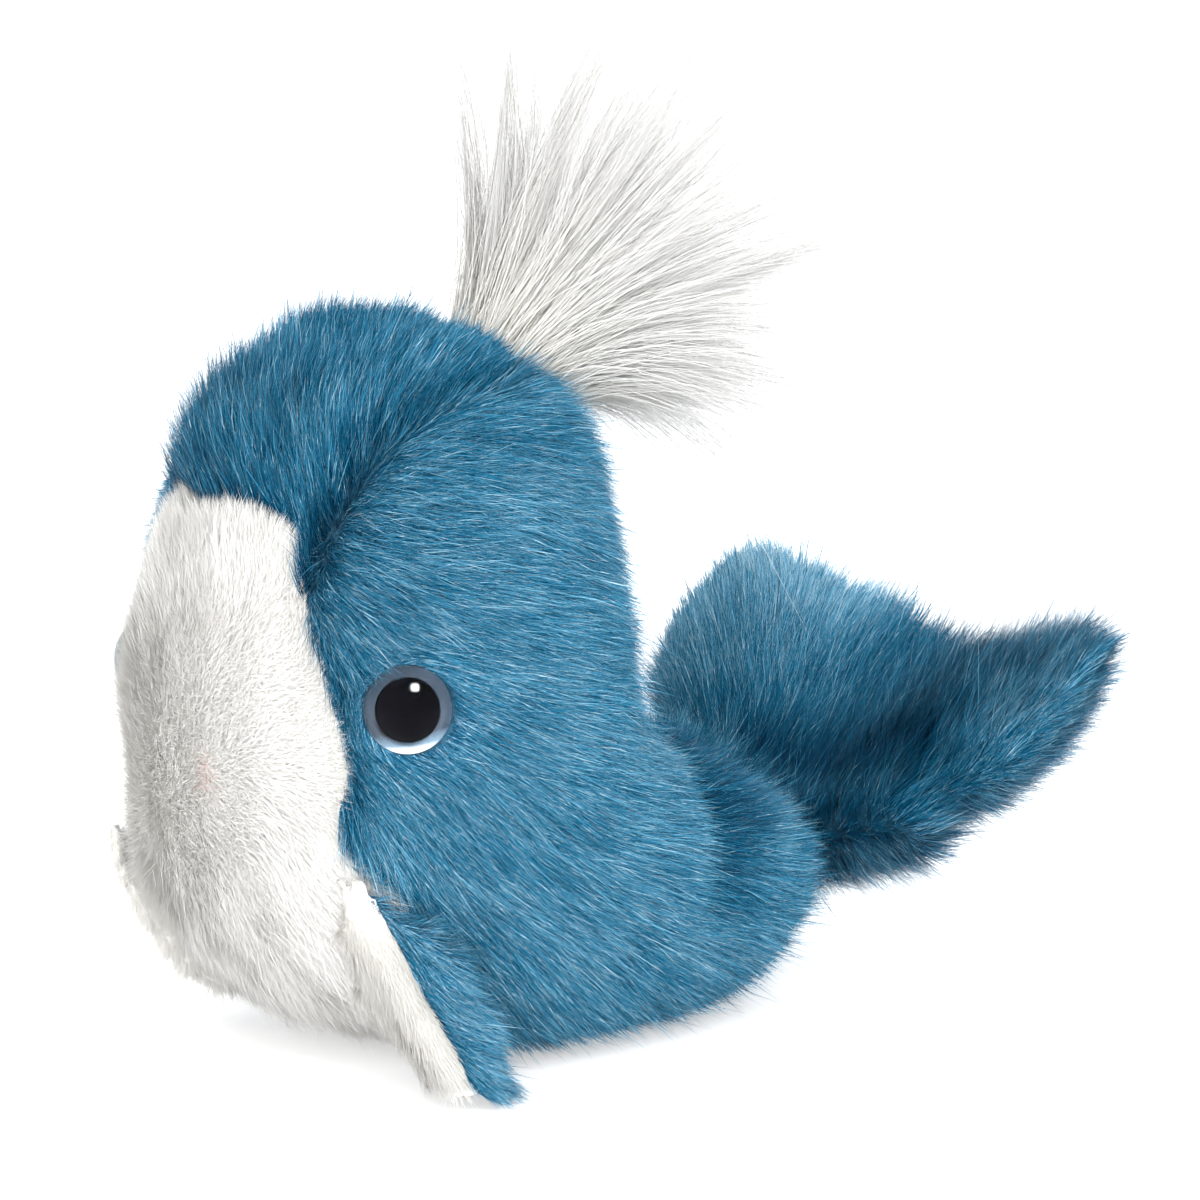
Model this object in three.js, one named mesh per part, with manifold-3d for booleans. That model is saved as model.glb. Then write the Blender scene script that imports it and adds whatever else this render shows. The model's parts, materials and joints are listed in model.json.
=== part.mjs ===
// A plush whale about 145 mm long that sits on its belly and looks along -Y.
// Millimetres, +Z up. The origin is on the flat underside, below the head.
import * as THREE from "three";
import { mergeVertices } from "three/addons/utils/BufferGeometryUtils.js";
import Module from "manifold-3d";

const wasm = await Module();
wasm.setup();

// Driving dimensions of the body
const bodyHeight = 106; // floor to crown, with the pile
const bodyLength = 105; // face to tail seam
const bodyHalfWidth = 39;
const faceForward = 43; // how far the face lies ahead of the origin
const fabricThickness = 5; // knitted backing and pile together
const backingThickness = 1;
const seamGap = 0.3; // between pieces that are sewn edge to edge or lie on each other
const floorCut = 0.5; // how deep the belly is pressed flat

// Seams: the white panel's edge, and the strip over the crown
const gussetHalfWidth = 23;
const gussetFaceHalfWidth = 16.5;
const gussetTaper = 22; // how far ahead of the spout's middle the strip starts to narrow

// Spout
const spoutPatchRadius = 8;
const spoutLength = 44; // longest lock
const spoutLockRadius = 1.9;
const spoutLockCount = 30;
const spoutFan = 42; // degrees that the outermost locks lean out from the middle one
const spoutLean = 14; // degrees that the whole spout leans back
const spoutDroop = 6; // how far the tips sag under their own weight
const spoutUneven = 0.25; // share of its length that the shortest lock lacks

// Flippers
const flipperReach = 24; // sewn edge to tip
const flipperThickness = 15;
// Degrees that each flipper rests ahead of straight out, and that its seam lets it swing from there,
// forward and back. The right one lies back against the body.
const flipperRest = { left: 26, right: -28 };
const flipperRange = { left: [-8, 30], right: [-38, 0] };

// Fluke
const flukeHalfSpan = 42;
const flukeChord = 52; // tail seam to the notch between the lobes
const flukeThickness = 14;
const flukeLift = 17; // how far the trailing edge curls up at the tips
const flukePitch = 22; // degrees that the fluke tilts up from the tail
const flukeRoll = 4; // degrees that its left lobe hangs lower than its right one
const flukeRange = [-20, 25]; // degrees that the tail seam lets the fluke swing down and up
const flukeFabric = 3.5; // the fluke and the flippers are sewn from the thinner edge of the pile

// Eyes: domed safety eyes with a ribbed post and a locking washer
const eyeDiameter = 12;
const eyeDomeHeight = 3.6;
const eyeFlange = 1.2;
const pupilDiameter = 8;
const pupilThickness = 0.5;
const eyeFit = 0.1; // clearance between the pieces of an eye
const postDiameter = 3.6;
const postLength = 12;
const postRibCount = 4;
const postRibHeight = 0.35;
const washerDiameter = 13;
const washerThickness = 1.4;
const washerSlots = 6;
const washerSlotWidth = 0.8;

// Where the white panel's edge, the eyes and the flippers lie on the body, as shares of its length and height
const whiteEdgeShares = [
  [-0.2, 0.785],
  [0.03, 0.785],
  [0.052, 0.767],
  [0.066, 0.722],
  [0.062, 0.66],
  [0.066, 0.585],
  [0.08, 0.425],
  [0.076, 0.33],
  [0.165, 0.165],
  [0.28, 0.045],
  [0.43, 0.015],
  [0.6, 0.012],
  [0.72, -0.04],
];
const eyeShares = [0.135, 0.51];
const flipperTopShares = [0.08, 0.325];
const flipperBottomShares = [0.27, 0.045];
const tailSeamShares = [1, 0.213];
const spoutShare = 0.535;

// The body's ribs from crown to tail. Each runs from the front or under line to the back or upper line,
// as shares of length and height, with its half width as a share of the body's, and how square it is.
const bodyRibShares = [
  { under: [0.31, 0.998], upper: [0.37, 0.997], half: 0.07, round: 1 },
  { under: [0.25, 0.981], upper: [0.45, 0.969], half: 0.33, round: 0.95 },
  { under: [0.19, 0.943], upper: [0.53, 0.922], half: 0.54, round: 0.92 },
  { under: [0.11, 0.868], upper: [0.585, 0.86], half: 0.73, round: 0.9 },
  { under: [0.05, 0.757], upper: [0.612, 0.75], half: 0.87, round: 0.88 },
  { under: [0.018, 0.617], upper: [0.624, 0.63], half: 0.955, round: 0.87 },
  { under: [0.005, 0.467], upper: [0.63, 0.535], half: 1, round: 0.87 },
  { under: [0.01, 0.318], upper: [0.648, 0.468], half: 1, round: 0.86 },
  { under: [0.05, 0.175], upper: [0.69, 0.43], half: 0.975, round: 0.84 },
  { under: [0.165, 0.056], upper: [0.742, 0.402], half: 0.95, round: 0.8 },
  { under: [0.35, 0], upper: [0.795, 0.379], half: 0.9, round: 0.77 },
  { under: [0.57, -0.003], upper: [0.845, 0.355], half: 0.82, round: 0.77 },
  { under: [0.765, 0.008], upper: [0.895, 0.33], half: 0.69, round: 0.8 },
  { under: [0.895, 0.052], upper: [0.945, 0.308], half: 0.55, round: 0.84 },
  { under: [0.968, 0.115], upper: [0.982, 0.282], half: 0.43, round: 0.88 },
  { under: [0.996, 0.178], upper: [1, 0.248], half: 0.31, round: 0.92 },
];
const bodyRings = 30;
const bodyAround = 26;

// The flipper's ribs from sewn edge to tip: how far out, where its leading and trailing edges lie
// along the sewn edge, and its thickness.
const flipperRibShares = [
  { out: 0, lead: 0.04, trail: 0.96, thick: 0.8 },
  { out: 0.18, lead: 0.11, trail: 1.02, thick: 0.95 },
  { out: 0.42, lead: 0.25, trail: 1.04, thick: 1 },
  { out: 0.66, lead: 0.42, trail: 1.02, thick: 0.92 },
  { out: 0.86, lead: 0.6, trail: 0.97, thick: 0.74 },
  { out: 0.97, lead: 0.72, trail: 0.9, thick: 0.4 },
];
const flipperRings = 8;
const flipperAround = 12;

// The fluke's ribs from the right tip to its middle: span, then how far back and how far up its
// leading and trailing edges lie, and its thickness.
const flukeRibShares = [
  { span: 1, lead: 0.47, leadLift: 0.66, trail: 0.66, trailLift: 0.86, thick: 0.42 },
  { span: 0.95, lead: 0.33, leadLift: 0.5, trail: 0.8, trailLift: 0.97, thick: 0.78 },
  { span: 0.8, lead: 0.21, leadLift: 0.36, trail: 0.87, trailLift: 0.9, thick: 1 },
  { span: 0.55, lead: 0.1, leadLift: 0.21, trail: 0.88, trailLift: 0.68, thick: 1 },
  { span: 0.3, lead: 0.02, leadLift: 0.07, trail: 0.89, trailLift: 0.44, thick: 1 },
  { span: 0.1, lead: 0, leadLift: 0, trail: 0.86, trailLift: 0.32, thick: 0.9 },
];
const flukeRings = 22;
const flukeAround = 12;
const limbRound = 0.85; // how square the flippers' and the fluke's ribs are

// Facets and steps
const lockSides = 5;
const lockSteps = 4;
const lockTaper = 0.6; // below 1 a lock stays thick for longer
const roundSides = 18; // facets of every turned piece
const domeSteps = 5;
const edgeSteps = 5; // from one place on the white panel's edge to the next
const sweepSteps = 5; // turns that the room for a hinge's whole range is cut in

// Colours by eye from the lit stretches of each cloth
const blue = new THREE.MeshStandardMaterial({ color: 0x4a86a8, roughness: 0.95, metalness: 0 });
const white = new THREE.MeshStandardMaterial({ color: 0xf0f0ed, roughness: 0.95, metalness: 0 });
const filling = new THREE.MeshStandardMaterial({ color: 0xf6f4ee, roughness: 1, metalness: 0 });
const clear = new THREE.MeshStandardMaterial({
  color: 0xffffff, roughness: 0.03, metalness: 0, transparent: true, opacity: 0.25,
});
const slate = new THREE.MeshStandardMaterial({ color: 0x3c4b5f, roughness: 0.3, metalness: 0 });
const black = new THREE.MeshStandardMaterial({ color: 0x08090a, roughness: 0.15, metalness: 0 });
const nylon = new THREE.MeshStandardMaterial({ color: 0xe8e6e0, roughness: 0.5, metalness: 0 });

// Lengths that cutters share: longer than anything that they cut through
const beyond = 2 * (bodyLength + flukeChord + bodyHeight);

// A share of the body's length and height as a place in the side view
function sidePlace([along, up], aside = 0) {
  return new THREE.Vector3(aside, along * bodyLength - faceForward, up * bodyHeight);
}

function signedPower(value, power) {
  return Math.sign(value) * Math.abs(value) ** power;
}

// One closed surface through ribs. A rib runs from its point "from" to its point "to" and swells by
// its half thickness to both sides of that line, along the direction "side".
// The side is "both", or 1 or -1 for the half that lies on that side of the ribs' own plane.
function ribLoft(ribs, side, ringCount, around, keep = "both") {
  const fromCurve = new THREE.CatmullRomCurve3(ribs.map((rib) => rib.from));
  const toCurve = new THREE.CatmullRomCurve3(ribs.map((rib) => rib.to));
  // An even curve, because this one carries a length and a plain number together
  const swell = new THREE.CatmullRomCurve3(
    ribs.map((rib) => new THREE.Vector3(rib.half, rib.round, 0)), false, "catmullrom",
  );
  const points = [];
  for (let ring = 0; ring <= ringCount; ring++) {
    const t = ring / ringCount;
    const from = fromCurve.getPoint(t);
    const to = toCurve.getPoint(t);
    const { x: half, y: round } = swell.getPoint(t);
    const middle = from.clone().lerp(to, 0.5);
    const arm = to.clone().sub(from).multiplyScalar(0.5);
    for (let step = 0; step < around; step++) {
      const angle = (2 * Math.PI * step) / around;
      let out = signedPower(Math.sin(angle), round);
      if (keep !== "both") out = keep * Math.max(0, keep * out);
      points.push(
        middle.clone()
          .addScaledVector(arm, -signedPower(Math.cos(angle), round))
          .addScaledVector(side, half * out),
      );
    }
  }
  const faces = [];
  for (let ring = 0; ring < ringCount; ring++) {
    for (let step = 0; step < around; step++) {
      const a = ring * around + step;
      const b = ring * around + ((step + 1) % around);
      faces.push(a, a + around, b, b, a + around, b + around);
    }
  }
  for (const [ring, turn] of [[0, 1], [ringCount, -1]]) {
    const first = ring * around;
    const hub = points.length;
    points.push(points[first].clone().lerp(points[first + around / 2], 0.5));
    for (let step = 0; step < around; step++) {
      const a = first + step;
      const b = first + ((step + 1) % around);
      faces.push(hub, ...(turn > 0 ? [a, b] : [b, a]));
    }
  }
  const geometry = new THREE.BufferGeometry().setFromPoints(points);
  geometry.setIndex(faces);
  geometry.computeVertexNormals();
  return geometry;
}

// The same surface moved along its normals, inwards where the distance is negative
function shifted(geometry, distance) {
  const moved = geometry.clone();
  const place = moved.attributes.position;
  const normal = geometry.attributes.normal;
  for (let i = 0; i < place.count; i++) {
    place.setXYZ(
      i,
      place.getX(i) + distance * normal.getX(i),
      place.getY(i) + distance * normal.getY(i),
      place.getZ(i) + distance * normal.getZ(i),
    );
  }
  moved.computeVertexNormals();
  return moved;
}

function solidOf(geometry) {
  const bare = geometry.clone();
  bare.deleteAttribute("normal");
  bare.deleteAttribute("uv");
  const welded = mergeVertices(bare);
  return new wasm.Manifold(
    new wasm.Mesh({
      numProp: 3,
      vertProperties: welded.attributes.position.array,
      triVerts: new Uint32Array(welded.index.array),
    }),
  );
}

function geometryOf(solid) {
  const { vertProperties, triVerts } = solid.getMesh();
  const geometry = new THREE.BufferGeometry();
  geometry.setAttribute("position", new THREE.BufferAttribute(vertProperties, 3));
  geometry.setIndex(new THREE.BufferAttribute(triVerts, 1));
  geometry.computeVertexNormals();
  return geometry;
}

// A tiny crumb can be left where two seams cross, so only the largest body is kept
function largest(solid) {
  const bodies = solid.decompose();
  return bodies.reduce((best, body) => (body.volume() > best.volume() ? body : best));
}

function placed(geometry, matrix) {
  return geometry.clone().applyMatrix4(matrix);
}

// A matrix whose local Z runs along the given direction
function facing(origin, direction) {
  const turn = new THREE.Quaternion().setFromUnitVectors(
    new THREE.Vector3(0, 0, 1),
    direction.clone().normalize(),
  );
  return new THREE.Matrix4().compose(origin, turn, new THREE.Vector3(1, 1, 1));
}

// A cylinder along local Z between two heights
function rod(radius, low, high, sides = roundSides) {
  return new THREE.CylinderGeometry(radius, radius, high - low, sides)
    .rotateX(Math.PI / 2)
    .translate(0, 0, (high + low) / 2);
}

// Body: one loft for the outside of the pile, and the same surface moved in for the cloth and the filling
const bodyRibs = bodyRibShares.map(({ under, upper, half, round }) => ({
  from: sidePlace(under),
  to: sidePlace(upper),
  half: half * bodyHalfWidth,
  round,
}));
const towardsLeft = new THREE.Vector3(1, 0, 0);

function bodyLoft(ribs) {
  return ribLoft(ribs, towardsLeft, bodyRings, bodyAround).translate(0, 0, -floorCut);
}

const bodySurface = bodyLoft(bodyRibs);
// The tail's flat sewn end holds no filling, so the inner surface stops one rib before it
const innerSurface = bodyLoft(bodyRibs.slice(0, -1));
const bodyMesh = new THREE.Mesh(bodySurface, new THREE.MeshBasicMaterial({ side: THREE.DoubleSide }));

const belowFloor = solidOf(
  new THREE.BoxGeometry(beyond, beyond, beyond).translate(0, 0, -beyond / 2),
);
const bodyOutside = solidOf(bodySurface).subtract(belowFloor);
const clothInside = solidOf(shifted(innerSurface, -fabricThickness));
const fillingOutside = solidOf(shifted(innerSurface, -fabricThickness - seamGap));
const bodyCloth = bodyOutside.subtract(clothInside);

// The place and the outward direction where a straight line from outside first meets the body
function bodyHit(start, direction) {
  const ray = new THREE.Raycaster(start, direction.clone().normalize());
  const [hit] = ray.intersectObject(bodyMesh);
  return { place: hit.point, outward: hit.normal.clone().normalize() };
}

function bodySide(shares) {
  return bodyHit(sidePlace(shares, beyond), new THREE.Vector3(-1, 0, 0));
}

// The white panel is what lies ahead of and below its edge in the side view
function whiteRegion(clearance) {
  const edge = new THREE.SplineCurve(
    whiteEdgeShares.map((shares) => {
      const { y, z } = sidePlace(shares);
      return new THREE.Vector2(y, z);
    }),
  ).getPoints(edgeSteps * whiteEdgeShares.length);
  const outline = edge.map((point, i) => {
    const before = edge[Math.max(i - 1, 0)];
    const after = edge[Math.min(i + 1, edge.length - 1)];
    const along = after.clone().sub(before).normalize();
    return new THREE.Vector2(point.x - along.y * clearance, point.y + along.x * clearance);
  });
  const last = outline[outline.length - 1];
  const shape = new THREE.Shape([
    ...outline,
    new THREE.Vector2(last.x, -bodyHeight),
    new THREE.Vector2(outline[0].x, -bodyHeight),
  ]);
  const sideView = new THREE.Matrix4().makeBasis(
    new THREE.Vector3(0, 1, 0),
    new THREE.Vector3(0, 0, 1),
    new THREE.Vector3(1, 0, 0),
  );
  const prism = new THREE.ExtrudeGeometry(shape, { depth: beyond, bevelEnabled: false });
  return solidOf(prism.translate(0, 0, -beyond / 2).applyMatrix4(sideView));
}

// The strip over the crown is what lies inside its outline in the top view, above the eyes
function gussetRegion(clearance) {
  const spoutY = sidePlace([spoutShare, 0]).y;
  const crownY = spoutY - gussetTaper;
  const frontY = -faceForward - bodyHalfWidth;
  const wide = gussetHalfWidth + clearance;
  const narrow = gussetFaceHalfWidth + clearance;
  const endY = spoutY - spoutPatchRadius / 2 + clearance;
  const shape = new THREE.Shape();
  shape.moveTo(-narrow, frontY);
  shape.lineTo(-narrow, -faceForward);
  shape.quadraticCurveTo(-wide, (crownY - faceForward) / 2, -wide, crownY);
  shape.bezierCurveTo(-wide, (crownY + endY) / 2, -wide / 2, endY, 0, endY);
  shape.bezierCurveTo(wide / 2, endY, wide, (crownY + endY) / 2, wide, crownY);
  shape.quadraticCurveTo(wide, (crownY - faceForward) / 2, narrow, -faceForward);
  shape.lineTo(narrow, frontY);
  shape.closePath();
  const eyeLevel = sidePlace(eyeShares).z;
  const prism = new THREE.ExtrudeGeometry(shape, { depth: bodyHeight, bevelEnabled: false });
  return solidOf(prism.translate(0, 0, eyeLevel));
}

// Half of space on one side of the middle plane, less half a seam
function sideRegion(side) {
  const box = new THREE.BoxGeometry(beyond, beyond, beyond);
  return solidOf(box.translate(side * (beyond / 2 + seamGap / 2), 0, 0));
}

// Eye: every piece is turned about local Z, with Z = 0 where the flange rests on the cloth's backing
function eyeFrame(side) {
  const { place, outward } = bodySide(eyeShares);
  const seat = place.clone().addScaledVector(outward, backingThickness - fabricThickness);
  seat.x *= side;
  outward.x *= side;
  return facing(seat, outward);
}

function turned(profile, sides = roundSides) {
  return new THREE.LatheGeometry(profile.map(([r, z]) => new THREE.Vector2(r, z)), sides)
    .rotateX(Math.PI / 2);
}

function eyeLens() {
  const radius = eyeDiameter / 2;
  const base = eyeFlange + eyeFit;
  const recess = base + pupilThickness + eyeFit;
  const domeRadius = (radius ** 2 + eyeDomeHeight ** 2) / (2 * eyeDomeHeight);
  const rimAngle = Math.asin(radius / domeRadius);
  const profile = [[0, recess], [pupilDiameter / 2 + eyeFit, recess], [pupilDiameter / 2 + eyeFit, base]];
  for (let step = 0; step <= domeSteps; step++) {
    const angle = rimAngle * (1 - step / domeSteps);
    const z = base + eyeDomeHeight - domeRadius * (1 - Math.cos(angle));
    profile.push([domeRadius * Math.sin(angle), z]);
  }
  profile[profile.length - 1][0] = 0;
  return turned(profile);
}

function eyePupil() {
  const low = eyeFlange + eyeFit;
  return rod(pupilDiameter / 2, low, low + pupilThickness);
}

function eyeIris() {
  const post = postDiameter / 2;
  const rib = post + postRibHeight;
  const pitch = postLength / (postRibCount + 1);
  const profile = [[0, eyeFlange], [eyeDiameter / 2, eyeFlange], [eyeDiameter / 2, 0], [post, 0]];
  for (let i = 1; i <= postRibCount; i++) {
    const z = -i * pitch;
    profile.push([post, z + pitch / 2], [rib, z + pitch / 4], [post, z]);
  }
  profile.push([post, -postLength + postRibHeight], [post - postRibHeight, -postLength], [0, -postLength]);
  return turned(profile.reverse());
}

// The washer is pushed up the post until it presses the backing from inside
const washerTop = -backingThickness - seamGap;

function eyeWasher() {
  const bore = postDiameter / 2 + postRibHeight + eyeFit;
  const low = washerTop - washerThickness;
  const crown = washerThickness / 2;
  const ring = solidOf(
    turned([
      [bore, low], [washerDiameter / 2, low + crown], [washerDiameter / 2, washerTop],
      [bore, washerTop - crown], [bore, low],
    ]),
  );
  let washer = ring;
  for (let slot = 0; slot < washerSlots; slot++) {
    const length = washerDiameter / 4;
    const cutter = new THREE.BoxGeometry(length, washerSlotWidth, 2 * beyond)
      .translate(length / 2, 0, 0)
      .rotateZ((2 * Math.PI * slot) / washerSlots);
    washer = washer.subtract(solidOf(cutter));
  }
  return geometryOf(washer);
}

// What an eye needs out of the cloth and the filling: a socket in the pile, a hole for the post and
// room for the washer
function eyeRoom() {
  const post = postDiameter / 2 + postRibHeight + seamGap;
  const socket = solidOf(rod(eyeDiameter / 2 + seamGap, -eyeFit, beyond / 2));
  const hole = solidOf(rod(post, -postLength - seamGap, eyeFlange));
  const washerRoom = solidOf(
    rod(washerDiameter / 2 + seamGap, washerTop - washerThickness - seamGap, -backingThickness),
  );
  return geometryOf(socket.add(hole).add(washerRoom));
}

// Spout: a small round patch in the crown seam, with pointed locks that fan out of it
const spout = bodyHit(
  new THREE.Vector3(0, sidePlace([spoutShare, 0]).y, beyond),
  new THREE.Vector3(0, 0, -1),
);
const spoutFrame = facing(spout.place, spout.outward);

// A pointed lock along a curve: a ring of points at each step, closed by its foot and its tip
function lock(curve, radius, sides, steps) {
  const points = [];
  for (let step = 0; step < steps; step++) {
    const t = step / steps;
    const swellAt = radius * (1 - t) ** lockTaper;
    const centre = curve.getPoint(t);
    const along = curve.getTangent(t);
    const ringFrame = facing(centre, along);
    for (let side = 0; side < sides; side++) {
      const angle = (2 * Math.PI * side) / sides;
      points.push(
        new THREE.Vector3(swellAt * Math.cos(angle), swellAt * Math.sin(angle), 0)
          .applyMatrix4(ringFrame),
      );
    }
  }
  const foot = points.push(curve.getPoint(0)) - 1;
  const tip = points.push(curve.getPoint(1)) - 1;
  const faces = [];
  for (let side = 0; side < sides; side++) {
    const next = (side + 1) % sides;
    faces.push(foot, next, side);
    for (let step = 0; step < steps - 1; step++) {
      const a = step * sides + side;
      const b = step * sides + next;
      faces.push(a, b, a + sides, b, b + sides, a + sides);
    }
    faces.push((steps - 1) * sides + side, (steps - 1) * sides + next, tip);
  }
  const geometry = new THREE.BufferGeometry().setFromPoints(points);
  geometry.setIndex(faces);
  return geometry;
}

function spoutTuft() {
  const foot = -fabricThickness + backingThickness;
  let tuft = solidOf(rod(spoutPatchRadius, -fabricThickness, -backingThickness));
  const down = new THREE.Vector3(0, 0, -1).transformDirection(spoutFrame.clone().invert());
  const sideways = new THREE.Vector3(1, 0, 0).transformDirection(spoutFrame.clone().invert());
  const goldenAngle = Math.PI * (3 - Math.sqrt(5));
  for (let i = 0; i < spoutLockCount; i++) {
    const share = Math.sqrt((i + 0.5) / spoutLockCount);
    const turn = i * goldenAngle;
    const lean = THREE.MathUtils.degToRad(spoutFan) * share;
    const root = new THREE.Vector3(Math.cos(turn), Math.sin(turn), 0)
      .multiplyScalar(share * (spoutPatchRadius - 2 * spoutLockRadius))
      .setZ(foot);
    const outward = new THREE.Vector3(
      Math.sin(lean) * Math.cos(turn),
      Math.sin(lean) * Math.sin(turn),
      Math.cos(lean),
    ).applyAxisAngle(sideways, THREE.MathUtils.degToRad(-spoutLean));
    const length = spoutLength * (1 - spoutUneven * Math.sin(spoutLockCount * turn) ** 2);
    const bend = root.clone().setZ(foot + spoutLength / 3);
    const tip = root.clone()
      .addScaledVector(outward, length)
      .addScaledVector(down, spoutDroop * share);
    const curve = new THREE.QuadraticBezierCurve3(root, bend, tip);
    tuft = tuft.add(solidOf(lock(curve, spoutLockRadius, lockSides, lockSteps)));
  }
  return geometryOf(tuft);
}

function spoutRoom() {
  return solidOf(
    placed(rod(spoutPatchRadius + seamGap, -fabricThickness - seamGap, beyond / 2), spoutFrame),
  );
}

// The room that a piece on a hinge must leave free, as copies of the still solid turned the other way
function sweptRoom(still, hinge, axis, range) {
  const rooms = [];
  for (let step = 0; step <= sweepSteps; step++) {
    const degrees = range[0] + ((range[1] - range[0]) * step) / sweepSteps;
    const turn = new THREE.Matrix4().makeRotationAxis(axis, THREE.MathUtils.degToRad(-degrees));
    const about = new THREE.Matrix4()
      .makeTranslation(hinge)
      .multiply(turn)
      .multiply(new THREE.Matrix4().makeTranslation(hinge.clone().negate()));
    rooms.push(solidOf(placed(still, about)));
  }
  return rooms;
}

// A limb: an upper and a lower cloth sewn round their rim, with filling between them
function limbPieces(ribs, side, rings, around, thickness, rooms) {
  const half = (keep) => {
    const apart = side.clone().multiplyScalar((keep * seamGap) / 2);
    return solidOf(ribLoft(ribs, side, rings, around, keep).translate(apart.x, apart.y, apart.z));
  };
  const inner = (margin) => {
    const shrunk = ribs
      .filter((rib) => rib.half > margin + seamGap)
      .map((rib) => {
        const along = rib.to.clone().sub(rib.from).normalize();
        return {
          from: rib.from.clone().addScaledVector(along, margin),
          to: rib.to.clone().addScaledVector(along, -margin),
          half: rib.half - margin,
          round: rib.round,
        };
      });
    return solidOf(ribLoft(shrunk, side, rings, around));
  };
  const cut = (solid) =>
    geometryOf(largest(rooms.reduce((rest, room) => rest.subtract(room), solid)));
  const clothInner = inner(thickness);
  return {
    upper: cut(half(1).subtract(clothInner)),
    lower: cut(half(-1).subtract(clothInner)),
    filling: cut(inner(thickness + seamGap)),
  };
}

// Flipper, built on the left side. The right one is mirrored, with a resting angle of its own.
const flipperTop = bodySide(flipperTopShares).place;
const flipperBottom = bodySide(flipperBottomShares).place;
// Turning about this axis swings the left flipper back
const flipperAxis = flipperTop.clone().sub(flipperBottom).normalize();
const bodyRoomSurface = shifted(bodySurface, seamGap);

function flipperPieces(rest, range) {
  const sewn = flipperBottom.clone().sub(flipperTop);
  const down = sewn.clone().normalize();
  const straightOut = new THREE.Vector3(1, 0, 0);
  straightOut.addScaledVector(down, -straightOut.dot(down)).normalize();
  const out = straightOut.applyAxisAngle(down, THREE.MathUtils.degToRad(rest));
  const side = out.clone().cross(down).normalize();
  const ribs = flipperRibShares.map((rib) => ({
    from: flipperTop.clone().addScaledVector(sewn, rib.lead).addScaledVector(out, rib.out * flipperReach),
    to: flipperTop.clone().addScaledVector(sewn, rib.trail).addScaledVector(out, rib.out * flipperReach),
    half: (rib.thick * flipperThickness) / 2,
    round: limbRound,
  }));
  const rooms = sweptRoom(bodyRoomSurface, flipperTop, flipperAxis, range);
  rooms.push(belowFloor.translate([0, 0, floorCut]));
  return limbPieces(ribs, side, flipperRings, flipperAround, flukeFabric, rooms);
}

// Fluke, in its own frame: X along the span, Y back from the tail seam, then tilted up and rolled
const flukeHinge = sidePlace(tailSeamShares);
const flukeFrame = new THREE.Matrix4()
  .makeTranslation(flukeHinge)
  .multiply(new THREE.Matrix4().makeRotationX(THREE.MathUtils.degToRad(flukePitch)))
  .multiply(new THREE.Matrix4().makeRotationY(THREE.MathUtils.degToRad(flukeRoll)));

function flukePieces() {
  const rightLobe = flukeRibShares.map((rib) => ({ ...rib, span: -rib.span }));
  const leftLobe = [...flukeRibShares].reverse();
  const side = new THREE.Vector3(0, 0, 1).transformDirection(flukeFrame);
  const ribs = [...rightLobe, ...leftLobe].map((rib) => {
    const at = (share, lift) =>
      new THREE.Vector3(rib.span * flukeHalfSpan, share * flukeChord, lift * flukeLift)
        .applyMatrix4(flukeFrame);
    return {
      from: at(rib.lead, rib.leadLift),
      to: at(rib.trail, rib.trailLift),
      half: (rib.thick * flukeThickness) / 2,
      round: limbRound,
    };
  });
  const axis = new THREE.Vector3(1, 0, 0);
  const rooms = sweptRoom(bodyRoomSurface, flukeHinge, axis, flukeRange);
  return limbPieces(ribs, side, flukeRings, flukeAround, flukeFabric, rooms);
}

// Assembly
const whale = new THREE.Group();

function addPiece(name, geometry, material, matrix) {
  const mesh = new THREE.Mesh(geometry, material);
  mesh.name = name;
  if (matrix) mesh.applyMatrix4(matrix);
  whale.add(mesh);
}

function mirrored(geometry) {
  const copy = geometry.clone().applyMatrix4(new THREE.Matrix4().makeScale(-1, 1, 1));
  const faces = copy.index.array;
  for (let i = 0; i < faces.length; i += 3) [faces[i], faces[i + 1]] = [faces[i + 1], faces[i]];
  copy.computeVertexNormals();
  return copy;
}

const sides = [["left", 1], ["right", -1]];
const halfSeam = seamGap / 2;
const openings = sides.map(([, side]) => solidOf(placed(eyeRoom(), eyeFrame(side))));
openings.push(spoutRoom());

function opened(solid) {
  return openings.reduce((rest, room) => rest.subtract(room), solid);
}

const blueCloth = bodyCloth.subtract(whiteRegion(halfSeam));
addPiece("face_belly_panel", geometryOf(largest(opened(bodyCloth.intersect(whiteRegion(-halfSeam))))), white);
addPiece("crown_gusset", geometryOf(largest(opened(blueCloth.intersect(gussetRegion(-halfSeam))))), blue);
for (const [word, side] of sides) {
  const panel = blueCloth.subtract(gussetRegion(halfSeam)).intersect(sideRegion(side));
  addPiece(`side_panel_${word}`, geometryOf(largest(opened(panel))), blue);
}
addPiece("body_filling", geometryOf(largest(opened(fillingOutside))), filling);
addPiece("spout_tuft", spoutTuft(), white, spoutFrame);

for (const [word, side] of sides) {
  const flipper = flipperPieces(flipperRest[word], flipperRange[word]);
  const shape = (geometry) => (side > 0 ? geometry : mirrored(geometry));
  addPiece(`flipper_${word}_outer`, shape(flipper.upper), blue);
  addPiece(`flipper_${word}_inner`, shape(flipper.lower), white);
  addPiece(`flipper_${word}_filling`, shape(flipper.filling), filling);
}

const fluke = flukePieces();
addPiece("fluke_upper", fluke.upper, blue);
addPiece("fluke_lower", fluke.lower, blue);
addPiece("fluke_filling", fluke.filling, filling);

for (const [word, side] of sides) {
  const frame = eyeFrame(side);
  addPiece(`eye_${word}_lens`, eyeLens(), clear, frame);
  addPiece(`eye_${word}_pupil`, eyePupil(), black, frame);
  addPiece(`eye_${word}_iris`, eyeIris(), slate, frame);
  addPiece(`eye_${word}_washer`, eyeWasher(), nylon, frame);
}

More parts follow.
